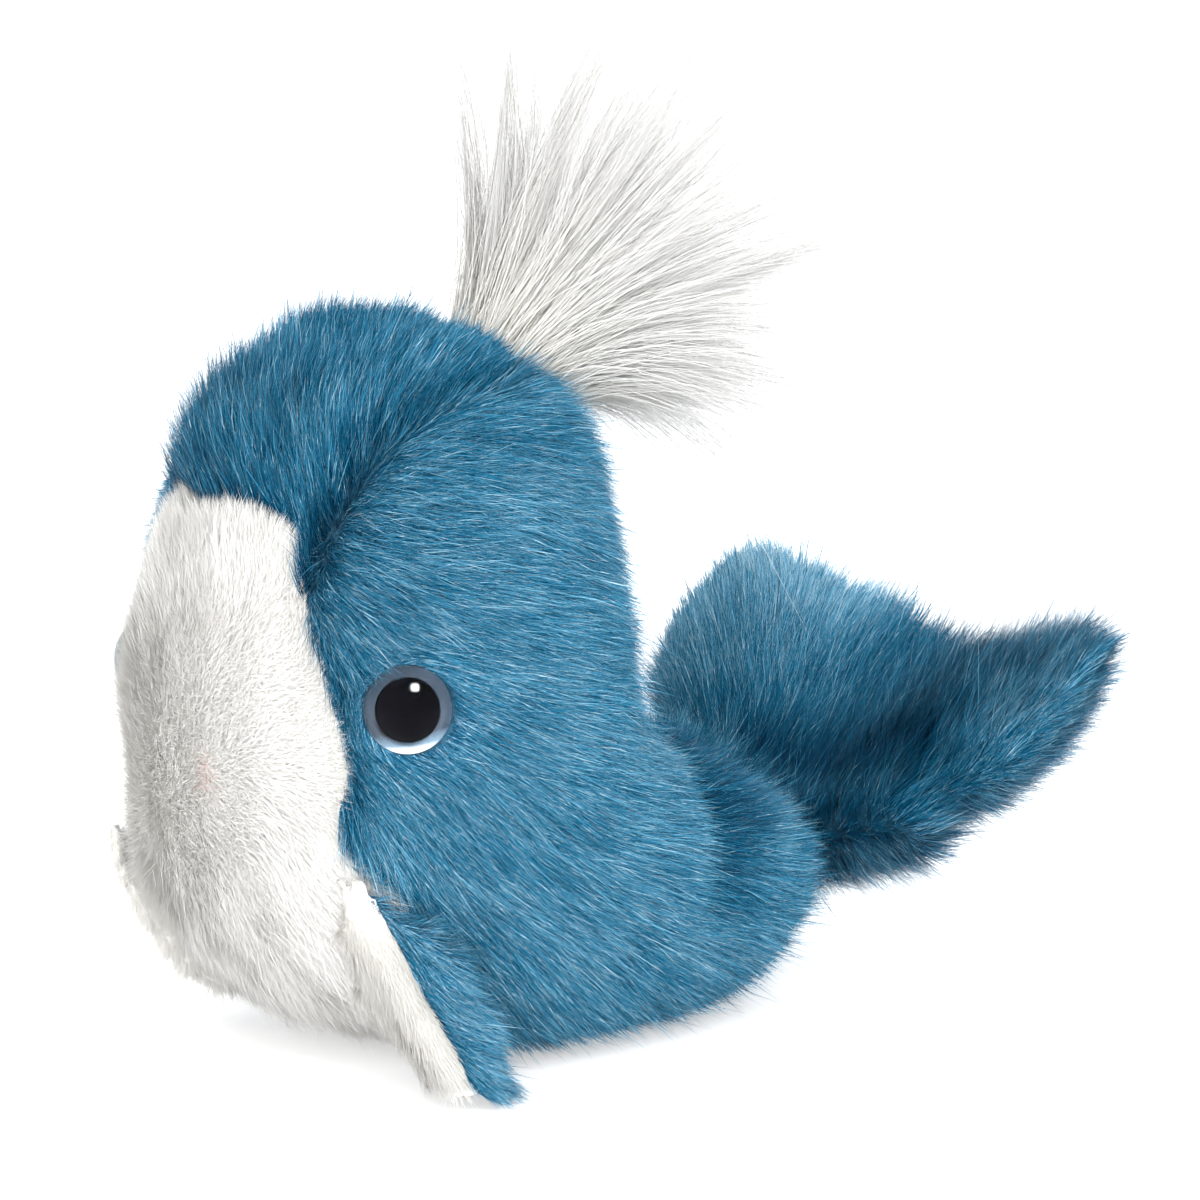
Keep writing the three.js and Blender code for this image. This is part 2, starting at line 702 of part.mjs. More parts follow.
const words = (v) => v.toArray().map((value) => value.toFixed(3)).join(", ");
console.log("flipper hinge at", words(flipperTop), "along", words(flipperAxis));
console.log("fluke hinge at", words(flukeHinge), "along X");

export default whale;
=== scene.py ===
import json
from math import cos, pi, radians, sin

import bmesh
import bpy
import numpy as np
from mathutils import Matrix, Vector
from mathutils.bvhtree import BVHTree
from mathutils.kdtree import KDTree


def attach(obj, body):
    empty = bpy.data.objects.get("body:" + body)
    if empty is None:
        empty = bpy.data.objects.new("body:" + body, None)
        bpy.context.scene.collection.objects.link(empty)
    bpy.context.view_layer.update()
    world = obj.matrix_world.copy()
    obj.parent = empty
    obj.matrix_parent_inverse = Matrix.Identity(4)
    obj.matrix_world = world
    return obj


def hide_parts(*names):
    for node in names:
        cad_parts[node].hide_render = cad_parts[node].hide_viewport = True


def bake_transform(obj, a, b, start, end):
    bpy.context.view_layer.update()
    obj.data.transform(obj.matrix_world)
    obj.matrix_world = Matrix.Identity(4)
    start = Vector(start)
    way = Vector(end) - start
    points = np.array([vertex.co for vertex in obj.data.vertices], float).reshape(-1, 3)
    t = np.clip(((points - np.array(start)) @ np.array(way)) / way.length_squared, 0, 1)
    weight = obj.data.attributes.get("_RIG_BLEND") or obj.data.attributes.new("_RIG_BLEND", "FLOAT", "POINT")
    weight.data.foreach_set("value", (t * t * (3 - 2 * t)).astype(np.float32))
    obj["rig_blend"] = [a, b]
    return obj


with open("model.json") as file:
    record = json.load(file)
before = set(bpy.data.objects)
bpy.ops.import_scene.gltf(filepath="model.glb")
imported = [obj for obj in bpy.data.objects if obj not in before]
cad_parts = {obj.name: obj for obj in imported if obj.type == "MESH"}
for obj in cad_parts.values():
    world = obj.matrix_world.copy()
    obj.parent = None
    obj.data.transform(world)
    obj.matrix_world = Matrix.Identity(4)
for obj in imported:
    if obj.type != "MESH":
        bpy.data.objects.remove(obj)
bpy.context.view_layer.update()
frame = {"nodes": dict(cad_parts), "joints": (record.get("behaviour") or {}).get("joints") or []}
nodes = frame["nodes"]
joints = {joint["name"]: joint for joint in frame["joints"]}
scene = bpy.context.scene
mm = 0.001
print("stage: frame loaded,", len(nodes), "nodes")


# ---- camera, floor and light

cameraView = {
    "place": (0.6937, -0.5420, 0.1871),
    "aim": (0.0052, 0.0277, 0.0610),
    "lens": 189.0,
}


def newObject(name, data):
    obj = bpy.data.objects.new(name, data)
    scene.collection.objects.link(obj)
    return obj


def aimAt(obj, place, aim):
    obj.location = place
    obj.rotation_euler = (Vector(aim) - obj.location).to_track_quat("-Z", "Y").to_euler()


def placeCamera(view):
    data = bpy.data.cameras.new("photoCamera")
    data.lens = view["lens"]
    data.sensor_width = 36
    data.clip_start = 0.01
    scene.camera = newObject("photoCamera", data)
    aimAt(scene.camera, view["place"], view["aim"])


def meshFrom(bm, name, smooth=False):
    mesh = bpy.data.meshes.new(name)
    bm.to_mesh(mesh)
    bm.free()
    for face in mesh.polygons:
        face.use_smooth = smooth
    return mesh


def addNode(tree, kind, **values):
    node = tree.nodes.new(kind)
    for key, value in values.items():
        if key in node.inputs:
            node.inputs[key].default_value = value
        else:
            setattr(node, key, value)
    return node


def wire(tree, *links):  # each is a node and its output, and the node and input that take it
    for source, output, target, entry in links:
        tree.links.new(source.outputs[output], target.inputs[entry])


def newMaterial(name, sockets):
    material = bpy.data.materials.new(name)
    material.use_nodes = True
    shader = material.node_tree.nodes["Principled BSDF"]
    for label, value in sockets.items():
        shader.inputs[label].default_value = value
    return material, material.node_tree, shader


def seenDirectly(tree):  # 1 where the camera looks, also through glass and in a reflection
    rays = addNode(tree, "ShaderNodeLightPath")
    seen, output = rays, "Is Camera Ray"
    for label in ("Is Transmission Ray", "Is Glossy Ray"):
        either = addNode(tree, "ShaderNodeMath", operation="MAXIMUM")
        wire(tree, (seen, output, either, 0), (rays, label, either, 1))
        seen, output = either, 0
    return seen


studio = {
    "floorSize": 6.0,
    "floorColour": (0.85, 0.85, 0.85, 1),
    "floorLift": 0.55,  # what the camera sees on top of the lit floor, so it reads as white
    "skyStrength": 1.04,
    "lamps": [
        # name, place, aim, size, watts; the sparkle lights the eyes' domes, the others all but them
        ("keySoftbox", (0.95, -0.35, 0.9), (0, 0, 0.05), 0.8, 8.0),
        ("frontSoftbox", (0.75, -1.0, 0.3), (0, 0, 0.05), 0.8, 4.6),
        ("lowSoftbox", (0.72, -0.78, 0.05), (0, -0.02, 0.03), 0.35, 5.6),
        ("backSoftbox", (-0.5, 0.95, 0.8), (0, 0.02, 0.06), 0.7, 3.5),
        ("sparkle", (0.72, -0.15, 1.02), (0.03, -0.03, 0.054), 0.44, 280.0),
    ],
}


def buildStudio(s):
    bm = bmesh.new()
    bmesh.ops.create_grid(bm, x_segments=1, y_segments=1, size=s["floorSize"])
    floor = newObject("studioFloor", meshFrom(bm, "studioFloor"))
    material, tree, shader = newMaterial(
        "studioWhite", {"Base Color": s["floorColour"], "Roughness": 0.9, "Specular IOR Level": 0.0})
    glow = addNode(tree, "ShaderNodeEmission", Strength=s["floorLift"])
    both = addNode(tree, "ShaderNodeAddShader")
    seen = addNode(tree, "ShaderNodeMixShader")
    wire(
        tree,
        (shader, 0, both, 0),
        (glow, 0, both, 1),
        (seenDirectly(tree), 0, seen, 0),
        (shader, 0, seen, 1),
        (both, 0, seen, 2),
        (seen, 0, tree.nodes["Material Output"], "Surface"),
    )
    floor.data.materials.append(material)

    world = bpy.data.worlds.new("studioSky")
    scene.world = world
    world.use_nodes = True
    sky = world.node_tree
    light = sky.nodes["Background"]
    light.inputs["Color"].default_value = (1, 1, 1, 1)
    light.inputs["Strength"].default_value = s["skyStrength"]
    white = addNode(sky, "ShaderNodeBackground", Color=(1, 1, 1, 1), Strength=1.0)
    pick = addNode(sky, "ShaderNodeMixShader")
    wire(
        sky,
        (seenDirectly(sky), 0, pick, 0),
        (light, 0, pick, 1),
        (white, 0, pick, 2),
        (pick, 0, sky.nodes["World Output"], "Surface"),
    )

    for name, place, aim, size, watts in s["lamps"]:
        data = bpy.data.lights.new(name, "AREA")
        data.shape = "DISK"
        data.size = size
        data.energy = watts
        lamp = newObject(name, data)
        aimAt(lamp, place, aim)
        lamp.light_linking.receiver_collection = bpy.data.collections.new(f"{name}Domes")
    scene.view_settings.view_transform = "Standard"


def linkDome(dome):  # each lamp's own list says whether it lights the domes
    for name, *_ in studio["lamps"]:
        domes = bpy.data.objects[name].light_linking.receiver_collection
        domes.objects.link(dome)
        for entry in domes.collection_objects:
            entry.light_linking.link_state = "INCLUDE" if name == "sparkle" else "EXCLUDE"


placeCamera(cameraView)
buildStudio(studio)
print("stage: camera, floor and light")


# ---- cloth skins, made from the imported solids

def nodeTree(name):
    bm = bmesh.new()
    bm.from_mesh(nodes[name].data)
    tree = BVHTree.FromBMesh(bm)
    bm.free()
    return tree


def evaluated(obj):
    deps = bpy.context.evaluated_depsgraph_get()
    mesh = bpy.data.meshes.new_from_object(obj.evaluated_get(deps))
    bpy.data.objects.remove(obj)
    return mesh


def meshArrays(bm):
    bm.verts.index_update()
    place = np.array([v.co[:] for v in bm.verts])
    normal = np.array([v.normal[:] for v in bm.verts])
    return place, normal


def closedForm(members, plugs, voxel, smoothing):
    bm = bmesh.new()
    for name in members:
        bm.from_mesh(nodes[name].data)
    bmesh.ops.remove_doubles(bm, verts=bm.verts, dist=1e-6)
    for corners in plugs:  # a hole that another piece fills is closed by the hull of its rim
        made = [bm.verts.new(corner) for corner in corners]
        hull = bmesh.ops.convex_hull(bm, input=made)
        spare = list(set(hull["geom_interior"] + hull["geom_unused"]))
        bmesh.ops.delete(bm, geom=[v for v in spare if isinstance(v, bmesh.types.BMVert)], context="VERTS")
    form = newObject("form", meshFrom(bm, "form"))
    remesh = form.modifiers.new("remesh", "REMESH")
    remesh.mode = "VOXEL"
    remesh.voxel_size = voxel
    smooth = form.modifiers.new("smooth", "SMOOTH")
    smooth.factor = 0.5
    smooth.iterations = smoothing
    done = bmesh.new()
    done.from_mesh(evaluated(form))
    bmesh.ops.triangulate(done, faces=done.faces)
    return done


roomAngles = (0, 40, 65)  # degrees off straight in, for the lines that feel how thin a form is


def roomInside(tree, place, normal):  # the radius of the largest ball that fits in, touching this point
    aside = normal.orthogonal().normalized()
    across = normal.cross(aside)
    room = 1.0
    for angle in roomAngles:
        for turn in range(4 if angle else 1):
            spin = radians(90 * turn + angle)
            away = aside * cos(spin) + across * sin(spin)
            way = -normal * cos(radians(angle)) + away * sin(radians(angle))
            gap = tree.ray_cast(place + way * 0.05 * mm, way)[3]
            if gap is not None:
                room = min(room, gap / (2 * cos(radians(angle))))
    return room


def sunk(bm, depths, share=0.6):  # moves each point inwards, at most by this share of the room there
    bm.normal_update()
    tree = BVHTree.FromBMesh(bm)
    room = bm.verts.layers.float.get("room") or bm.verts.layers.float.new("room")
    moves = []
    for v, depth in zip(bm.verts, depths):
        ball = roomInside(tree, v.co, v.normal)
        depth = min(depth, share * ball)
        v[room] = ball - max(depth, 0)
        moves.append(v.normal * depth)
    for v, move in zip(bm.verts, moves):
        v.co -= move
    bmesh.ops.smooth_vert(bm, verts=bm.verts, factor=0.3, use_axis_x=True, use_axis_y=True, use_axis_z=True)
    bm.normal_update()


def ease(value, start, width):  # 0 before start, 1 after start + width; a negative width runs downwards
    return np.clip((value - start) / width, 0, 1)


tailFold = {
    "middle": 25.5 * mm,  # where the fold crosses the tail stock at this height, and how it slants
    "height": 30 * mm,
    "slant": 0.25,
    "depth": 2.2 * mm,
    "width": 2.6 * mm,
    "above": 17 * mm,
    # how much the pile's tone is darkened in and behind the fold: painted shade
    "dark": 0.3,
    "shade": 8.0 * mm,  # how far the painted shade behind it reaches, and how much farther near the top
    "shadeTop": 24.0 * mm,
    "topAbove": 27 * mm,
    "fade": 8 * mm,
}


def foldShare(place, fold, behind):  # 1 in the soft fold across the tail stock, 0 away from it
    along = place[:, 1] - fold["middle"] - fold["slant"] * (place[:, 2] - fold["height"])
    top = ease(place[:, 2], fold["topAbove"], fold["fade"])
    width = np.where(along > 0, behind + (behind > fold["width"]) * fold["shadeTop"] * top, fold["width"])
    return np.exp(-((along / width) ** 2)) * ease(place[:, 2], fold["above"], fold["fade"])


def panelSheet(form, gaps, own, grooveDepth, grooveWidth):
    # the part of a form that lies nearest to one node, cut along its seams and drawn in there
    field = gaps[own] - np.min([gaps[other] for other in gaps if other != own], axis=0)
    bm = form.copy()
    bm.verts.ensure_lookup_table()
    seam = bm.verts.layers.float.new("seam")
    for v in bm.verts:
        v[seam] = field[v.index]
    cuts = {}  # keeps its order, so that each run gives the same sheet
    for edge in list(bm.edges):
        a, b = edge.verts
        if a[seam] * b[seam] >= 0:
            continue
        share = a[seam] / (a[seam] - b[seam])
        if 0.02 < share < 0.98:
            fresh = bmesh.utils.edge_split(edge, a, share)[1]
        else:
            fresh = a if share <= 0.02 else b
        fresh[seam] = 0.0
        cuts[fresh] = True
    bmesh.ops.connect_verts(bm, verts=list(cuts))
    bmesh.ops.triangulate(bm, faces=bm.faces)
    bm.normal_update()
    outward = bm.verts.layers.float_vector.new("outward")
    room = bm.verts.layers.float["room"]
    for v in bm.verts:
        v[outward] = v.normal
        draw = min(grooveDepth, 0.4 * v[room]) * float(np.exp(-(v[seam] / grooveWidth) ** 2))
        v.co -= v.normal * draw
    beyond = [f for f in bm.faces if sum(v[seam] for v in f.verts) > 0]
    bmesh.ops.delete(bm, geom=beyond, context="FACES")
    bm.normal_update()
    return bm


def sheetArrays(bm):
    seam = bm.verts.layers.float["seam"]
    outward = bm.verts.layers.float_vector["outward"]
    bm.verts.index_update()
    return {
        "place": np.array([v.co[:] for v in bm.verts]),
        "normal": np.array([v[outward][:] for v in bm.verts]),
        "tris": np.array([[v.index for v in f.verts] for f in bm.faces]),
        "seam": np.abs(np.array([v[seam] for v in bm.verts])),
    }


def clothPiece(name, bm, thickness, material, body, replaced):
    outward = bm.verts.layers.float_vector["outward"]
    room = bm.verts.layers.float["room"]
    inner = bmesh.ops.extrude_face_region(bm, geom=bm.faces[:], use_keep_orig=True)["geom"]
    for v in [v for v in inner if isinstance(v, bmesh.types.BMVert)]:
        v.co -= v[outward] * min(thickness, 0.4 * v[room])
    bmesh.ops.recalc_face_normals(bm, faces=bm.faces)
    piece = newObject(name, meshFrom(bm, name, smooth=True))
    piece.data.materials.append(material)
    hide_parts(*replaced)
    seat(piece, body)


def seat(piece, body):  # a piece that crosses a seam hinge bends over it
    if isinstance(body, str):
        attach(piece, body)
    else:
        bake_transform(piece, *body)


# ---- pile: short tapered strands that stand on a sheet and lie along its nap

def scatter(sheet, perSquareMm, rng, thin=None):
    a, b, c = (sheet["place"][sheet["tris"][:, i]] for i in range(3))
    area = 0.5 * np.linalg.norm(np.cross(b - a, c - a), axis=1) * 1e6
    weight = area
    if thin is not None:
        weight = area * thin((a + b + c) / 3)
    count = int(weight.sum() * perSquareMm)
    pick = rng.choice(len(area), count, p=weight / weight.sum())
    u, v = rng.random(count), rng.random(count)
    fold = u + v > 1
    u[fold], v[fold] = 1 - u[fold], 1 - v[fold]
    tri = sheet["tris"][pick]
    shares = np.stack([1 - u - v, u, v], axis=1)[:, :, None]
    place = (sheet["place"][tri] * shares).sum(axis=1)
    normal = unit((sheet["normal"][tri] * shares).sum(axis=1))
    seam = (sheet["seam"][tri] * shares[:, :, 0]).sum(axis=1)
    return place, normal, seam


def unit(v):
    return v / np.maximum(np.linalg.norm(v, axis=-1, keepdims=True), 1e-12)


def turnedAbout(v, axis, angle):
    c, s = np.cos(angle)[:, None], np.sin(angle)[:, None]
    along = (v * axis).sum(axis=1, keepdims=True)
    return v * c + np.cross(axis, v) * s + axis * along * (1 - c)


def waves(place, size, seed):  # smooth random values from about -1 to 1
    rng = np.random.default_rng(seed)
    total = np.zeros(len(place))
    for _ in range(7):
        direction = unit(rng.normal(size=3)) * (2 * pi / size) * rng.uniform(0.6, 1.6)
        total += np.sin(place @ direction + rng.uniform(0, 2 * pi))
    return total / 2.6


def napField(place, normal, guides):
    anchor = np.array([g[0] for g in guides]) * mm
    way = unit(np.array([g[1] for g in guides], float))
    gap = np.linalg.norm(place[:, None, :] - anchor[None, :, :], axis=2)
    weight = 1 / (gap + 0.002) ** 3
    flow = (weight[:, :, None] * way[None, :, :]).sum(axis=1)
    flow -= normal * (flow * normal).sum(axis=1, keepdims=True)
    return unit(flow)


def clumped(place, tips, every, pull, rng):  # tips lean towards the tip of a near strand
    lead = rng.random(len(place)) < 1 / every
    lead[0] = True
    chosen = np.flatnonzero(lead)
    tree = KDTree(len(chosen))
    for slot, index in enumerate(chosen):
        tree.insert(place[index], slot)
    tree.balance()
    nearest = np.array([tree.find(p)[1] for p in place])
    target = tips[chosen[nearest]]
    return tips + (target - tips) * pull[:, None], nearest


parting = {"around": 0.02, "push": 1.1, "shorten": 0.65}


def keptOff(rings, place, flow, length, s):
    # strands beside an eye or the spout flow round it, and what would stand on it is left out
    keep = np.ones(len(place), bool)
    for centre, axis, radius, reach in rings:
        away = place - centre
        away -= axis * (away @ axis)[:, None]
        gap = np.linalg.norm(away, axis=1)
        nearby = np.linalg.norm(place - centre, axis=1) < radius + s["around"]
        keep &= ~(nearby & (gap < radius))
        outward = away / np.maximum(gap, 1e-9)[:, None]
        inward = -(flow * outward).sum(axis=1)
        near = np.clip(1 - (gap - radius) / reach, 0, 1) * nearby * (inward > 0)
        flow = unit(flow + outward * (inward * near * s["push"])[:, None])
        length = length * (1 - s["shorten"] * near)
    return keep, flow, length


def strandMesh(name, points, widths, side, along, tone, outward=None, softness=0.0):
    # points: strands x steps x 3, the last step is the tip; each strand is a ribbon that ends in a point
    count, steps = points.shape[:2]
    left = points[:, :-1] + side[:, None, :] * widths[:, :-1, None] / 2
    right = points[:, :-1] - side[:, None, :] * widths[:, :-1, None] / 2
    perStrand = 2 * (steps - 1) + 1
    verts = np.empty((count, perStrand, 3))
    verts[:, 0:-1:2] = left
    verts[:, 1:-1:2] = right
    verts[:, -1] = points[:, -1]
    quads = []
    for step in range(steps - 2):
        a = 2 * step
        quads += [(a, a + 1, a + 3), (a, a + 3, a + 2)]
    last = 2 * (steps - 2)
    quads.append((last, last + 1, last + 2))
    faces = (np.array(quads)[None] + (np.arange(count) * perStrand)[:, None, None]).reshape(-1, 3)
    verts = verts.reshape(-1, 3)
    mesh = bpy.data.meshes.new(name)
    mesh.vertices.add(len(verts))
    mesh.vertices.foreach_set("co", verts.astype(np.float32).ravel())
    mesh.loops.add(faces.size)
    mesh.loops.foreach_set("vertex_index", faces.astype(np.int32).ravel())
    mesh.polygons.add(len(faces))
    mesh.polygons.foreach_set("loop_start", np.arange(0, faces.size, 3, dtype=np.int32))
    mesh.polygons.foreach_set("loop_total", np.full(len(faces), 3, dtype=np.int32))
    mesh.update(calc_edges=True)
    uvAlong = np.empty((count, perStrand))
    uvTone = np.empty((count, perStrand))
    for first, shift in ((0, -0.002), (1, 0.002)):  # a strand's two edges lie this far apart in the map
        uvAlong[:, first:-1:2] = along[None, :-1]
        uvTone[:, first:-1:2] = tone[:, None] + shift
    uvAlong[:, -1] = along[-1]
    uvTone[:, -1] = tone
    uv = np.stack([uvAlong.ravel()[faces.ravel()], uvTone.ravel()[faces.ravel()]], axis=1)
    layer = mesh.uv_layers.new(name="OFBake")
    layer.data.foreach_set("uv", uv.astype(np.float32).ravel())
    if softness:  # soft pile takes the light more like the form under it than strand by strand
        own = unit(np.cross(points[:, -1] - points[:, 0], side))
        facing = unit(own * (1 - softness) + outward * softness)
        mesh.normals_split_custom_set_from_vertices(np.repeat(facing, perStrand, axis=0).tolist())
    return newObject(name, mesh)


strandRules = {  # the same for all pile
    "draftShare": 0.45,
    "lengthWaves": 0.12, "lengthWaveSize": 9, "toneWaveSize": 12,  # mm
    "seamUpright": 0.3,  # how much less the pile leans at a seam
    "flyawayLean": (0.3, 0.8), "flyawayLength": 1.35,
    "pull": (0.4, 1), "pullCurve": 1.5,
    "widths": (0.7, 1.3),
    "root": 0.4, "floor": 0.2,  # mm under the cloth's face where a strand starts, and over the floor
}


def growPile(name, sheet, pile, material, body, slotName, rings=(), part=None):
    s = strandRules
    rng = np.random.default_rng(pile["seed"])
    density = pile["perSquareMm"] * 1
    place, normal, seam = scatter(sheet, density, rng, pile.get("thin"))
    if part is not None:
        keep = part(place)
        place, normal, seam = place[keep], normal[keep], seam[keep]
    flow = napField(place, normal, pile["guides"])
    swirl = radians(pile["swirl"]) * waves(place, pile["swirlSize"] * mm, pile["seed"] + 1)
    swirl += radians(pile["stray"]) * rng.normal(size=len(place))
    flow = turnedAbout(flow, normal, swirl)
    length = pile["length"] * mm * np.exp(pile["uneven"] * rng.normal(size=len(place)))
    length *= 1 + s["lengthWaves"] * waves(place, s["lengthWaveSize"] * mm, pile["seed"] + 2)
    nearSeam = np.exp(-(seam / (pile["seamWidth"] * mm)) ** 2)
    length *= 1 - pile["seamShort"] * nearSeam
    if "trim" in pile:
        length *= pile["trim"](place)
    if rings:
        keep, flow, length = keptOff(rings, place, flow, length, parting)
        place, normal, flow, length, nearSeam = (x[keep] for x in (place, normal, flow, length, nearSeam))
    count = len(place)
    steps = pile["steps"]
    lean = radians(pile["leanRoot"]) + np.radians(pile["leanJitter"]) * rng.normal(size=count)
    leanTip = radians(pile["leanTip"]) + np.radians(pile["leanJitter"]) * rng.normal(size=count)
    upright = 1 - s["seamUpright"] * nearSeam
    lean, leanTip = lean * upright, leanTip * upright
    flyaway = rng.random(count) < pile["flyaways"]
    leanTip = np.where(flyaway, leanTip * rng.uniform(*s["flyawayLean"], count), leanTip)
    length = np.where(flyaway, length * s["flyawayLength"], length)
    points = [place - normal * s["root"] * mm]
    for step in range(1, steps):
        angle = lean + (leanTip - lean) * ((step - 0.5) / (steps - 1))
        way = normal * np.cos(angle)[:, None] + flow * np.sin(angle)[:, None]
        points.append(points[-1] + way * (length / (steps - 1))[:, None])
    pull = pile["clump"] * rng.uniform(*s["pull"], count)
    tips, group = clumped(place, points[-1], pile["clumpEvery"], pull, rng)
    shift = tips - points[-1]
    points = np.stack(points, axis=1)
    along = np.linspace(0, 1, steps)
    points += shift[:, None, :] * (along ** s["pullCurve"])[None, :, None]
    points[:, :, 2] = np.maximum(points[:, :, 2], s["floor"] * mm)
    direction = unit(points[:, -1] - points[:, 0])
    side = unit(np.cross(normal, direction))
    twist = radians(pile["twist"]) * rng.uniform(-1, 1, count)
    side = turnedAbout(side, direction, twist)
    taper = np.array({2: [1, 0], 3: [0.9, 1, 0.5]}.get(steps, [1, 1, 0.85, 0.6, 0.4][:steps]))
    widths = pile["width"] * mm * rng.uniform(*s["widths"], count)[:, None] * taper[None, :]
    tone = pile["tone"] + pile["toneSpread"] * rng.normal(size=count)
    tone += pile["toneWaves"] * waves(place, s["toneWaveSize"] * mm, pile["seed"] + 3)
    tone += pile["clumpTone"] * rng.normal(size=group.max() + 1)[group]
    tone -= pile["seamDark"] * nearSeam
    if "tint" in pile:
        tone = pile["tint"](place, tone, rng)
    tone = np.clip(tone, 0.01, 0.99)
    piece = strandMesh(name, points, widths, side, along, tone, normal, pile["softness"])
    piece.data.materials.append(material)
    seat(piece, body)
    print("pile:", name, count, "strands,", len(piece.data.polygons), "triangles")


fineCoat = {"steps": 2, "width": 0.09, "stray": 15, "leanJitter": 11, "clump": 0.2}


def growCoats(name, sheet, pile, *rest):  # the curved pile, and short straight hairs between it
    growPile(name, sheet, pile, *rest)
    fine = dict(pile, **fineCoat)
    fine.update(seed=pile["seed"] + 100, perSquareMm=pile["finePerSquareMm"], length=0.9 * pile["length"])
    fine["toneSpread"] = max(1.2 * pile["toneSpread"], 0.1)
    growPile(f"{name}Fine", sheet, fine, *rest)


def dressSheet(name, form, gaps, node, finish, pile, body, s, rings=(), halves=(("", None),)):
    bm = panelSheet(form, gaps, node, s["grooveDepth"], s["grooveWidth"])
    sheet, slotName = sheetArrays(bm), f"{finish}_pile"
    clothPiece(f"{name}Cloth", bm, s["thickness"], finishes[f"{finish}Backing"], body, [node])
    for half, part in halves:
        growCoats(f"{name}{half}Pile", sheet, pile, finishes[finish], body, slotName, rings, part)


def ramp(tree, stops):
    node = tree.nodes.new("ShaderNodeValToRGB")
    while len(node.color_ramp.elements) < len(stops):
        node.color_ramp.elements.new(0.5)
    for element, (place, colour) in zip(node.color_ramp.elements, stops):
        element.position = place
        element.color = (*colour, 1)
    return node


def newGroup(name, inputs, outputs):
    group = bpy.data.node_groups.new(name, "ShaderNodeTree")
    for label, kind, value in inputs:
        socket = group.interface.new_socket(label, in_out="INPUT", socket_type=kind)
        socket.default_value = value
    for label, kind in outputs:
        group.interface.new_socket(label, in_out="OUTPUT", socket_type=kind)
    return group, group.nodes.new("NodeGroupInput"), group.nodes.new("NodeGroupOutput")


def strandGroup():  # where along a strand, how pale it is, and where it has a painted glint
    group, given, result = newGroup(
        "strandLook",
        [("Glint Length", "NodeSocketFloat", 5.0), ("Glint Share", "NodeSocketFloat", 0.6)],
        [("Along", "NodeSocketFloat"), ("Tone", "NodeSocketFloat"), ("Glint", "NodeSocketFloat")],
    )
    uv = addNode(group, "ShaderNodeUVMap", uv_map="OFBake")
    split = addNode(group, "ShaderNodeSeparateXYZ")
    along = addNode(group, "ShaderNodeMath", operation="MULTIPLY")
    across = addNode(group, "ShaderNodeMath", operation="MULTIPLY")
    across.inputs[1].default_value = 260  # high, so that each strand has a glint of its own
    spread = addNode(group, "ShaderNodeCombineXYZ")
    wander = addNode(group, "ShaderNodeTexNoise", noise_dimensions="2D", Scale=1.0, Detail=0.0)
    lit = addNode(group, "ShaderNodeMapRange", interpolation_type="SMOOTHSTEP", **{"From Max": 0.78})
    pale = addNode(group, "ShaderNodeMapRange", **{"From Min": 0.3, "From Max": 0.6})
    both = addNode(group, "ShaderNodeMath", operation="MULTIPLY")
    wire(
        group,
        (uv, 0, split, 0),
        (split, "X", result, "Along"),
        (split, "Y", result, "Tone"),
        (split, "X", along, 0),
        (given, "Glint Length", along, 1),
        (split, "Y", across, 0),
        (along, 0, spread, "X"),
        (across, 0, spread, "Y"),
        (spread, 0, wander, "Vector"),
        (wander, "Fac", lit, "Value"),
        (given, "Glint Share", lit, "From Min"),
        (split, "Y", pale, "Value"),
        (lit, "Result", both, 0),
        (pale, "Result", both, 1),
        (both, 0, result, "Glint"),
    )
    return group


def mixed(tree, blend, factor, a, b):  # each of the last three is a socket or a plain value
    node = tree.nodes.new("ShaderNodeMix")
    node.data_type = "RGBA"
    node.blend_type = blend
    for label, value in (("Factor", factor), ("A", a), ("B", b)):
        if isinstance(value, bpy.types.NodeSocket):
            tree.links.new(value, node.inputs[label])
        else:
            node.inputs[label].default_value = value
    return node.outputs["Result"]


def pileMaterial(name, look):
    material, tree, shader = newMaterial(
        name, {"Roughness": look["roughness"], "Specular IOR Level": look["specular"]})
    strand = addNode(tree, "ShaderNodeGroup", node_tree=strandLook, **{"Glint Share": look["glintShare"]})
    # the depth ramp tints each strand from root to tip; the blue pile's dark roots are painted shade deep in
    # the pile
    tones, depth = ramp(tree, look["tones"]), ramp(tree, look["depth"])
    wire(tree, (strand, "Tone", tones, 0), (strand, "Along", depth, 0))
    colour = mixed(tree, "MULTIPLY", 1, tones.outputs[0], depth.outputs[0])
    # painted glints: pale stretches in the base colour that stand in for highlights on the strands
    colour = mixed(tree, "MIX", strand.outputs["Glint"], colour, (*look["glint"], 1))
    tree.links.new(colour, shader.inputs["Base Color"])
    return material


def knitGroup():  # the loops of the knitted backing
    group, given, result = newGroup(
        "knitLook", [("Loop Scale", "NodeSocketFloat", 900.0)],
        [("Loops", "NodeSocketFloat"), ("Normal", "NodeSocketVector")],
    )
    where = addNode(group, "ShaderNodeTexCoord")
    knit = addNode(group, "ShaderNodeTexNoise", Detail=3.0)
    bump = addNode(group, "ShaderNodeBump", Strength=0.6, Distance=0.0006)
    wire(
        group,
        (where, "Object", knit, "Vector"),
        (given, "Loop Scale", knit, "Scale"),
        (knit, "Fac", bump, "Height"),
        (knit, "Fac", result, "Loops"),
        (bump, 0, result, "Normal"),
    )
    return group


def backingMaterial(name, dark, light):
    material, tree, shader = newMaterial(name, {"Roughness": 0.9})
    knit = addNode(tree, "ShaderNodeGroup", node_tree=knitLook)
    shade = ramp(tree, [(0.3, dark), (0.7, light)])
    wire(
        tree,
        (knit, "Loops", shade, 0),
        (shade, 0, shader, "Base Color"),
        (knit, "Normal", shader, "Normal"),
    )
    return material


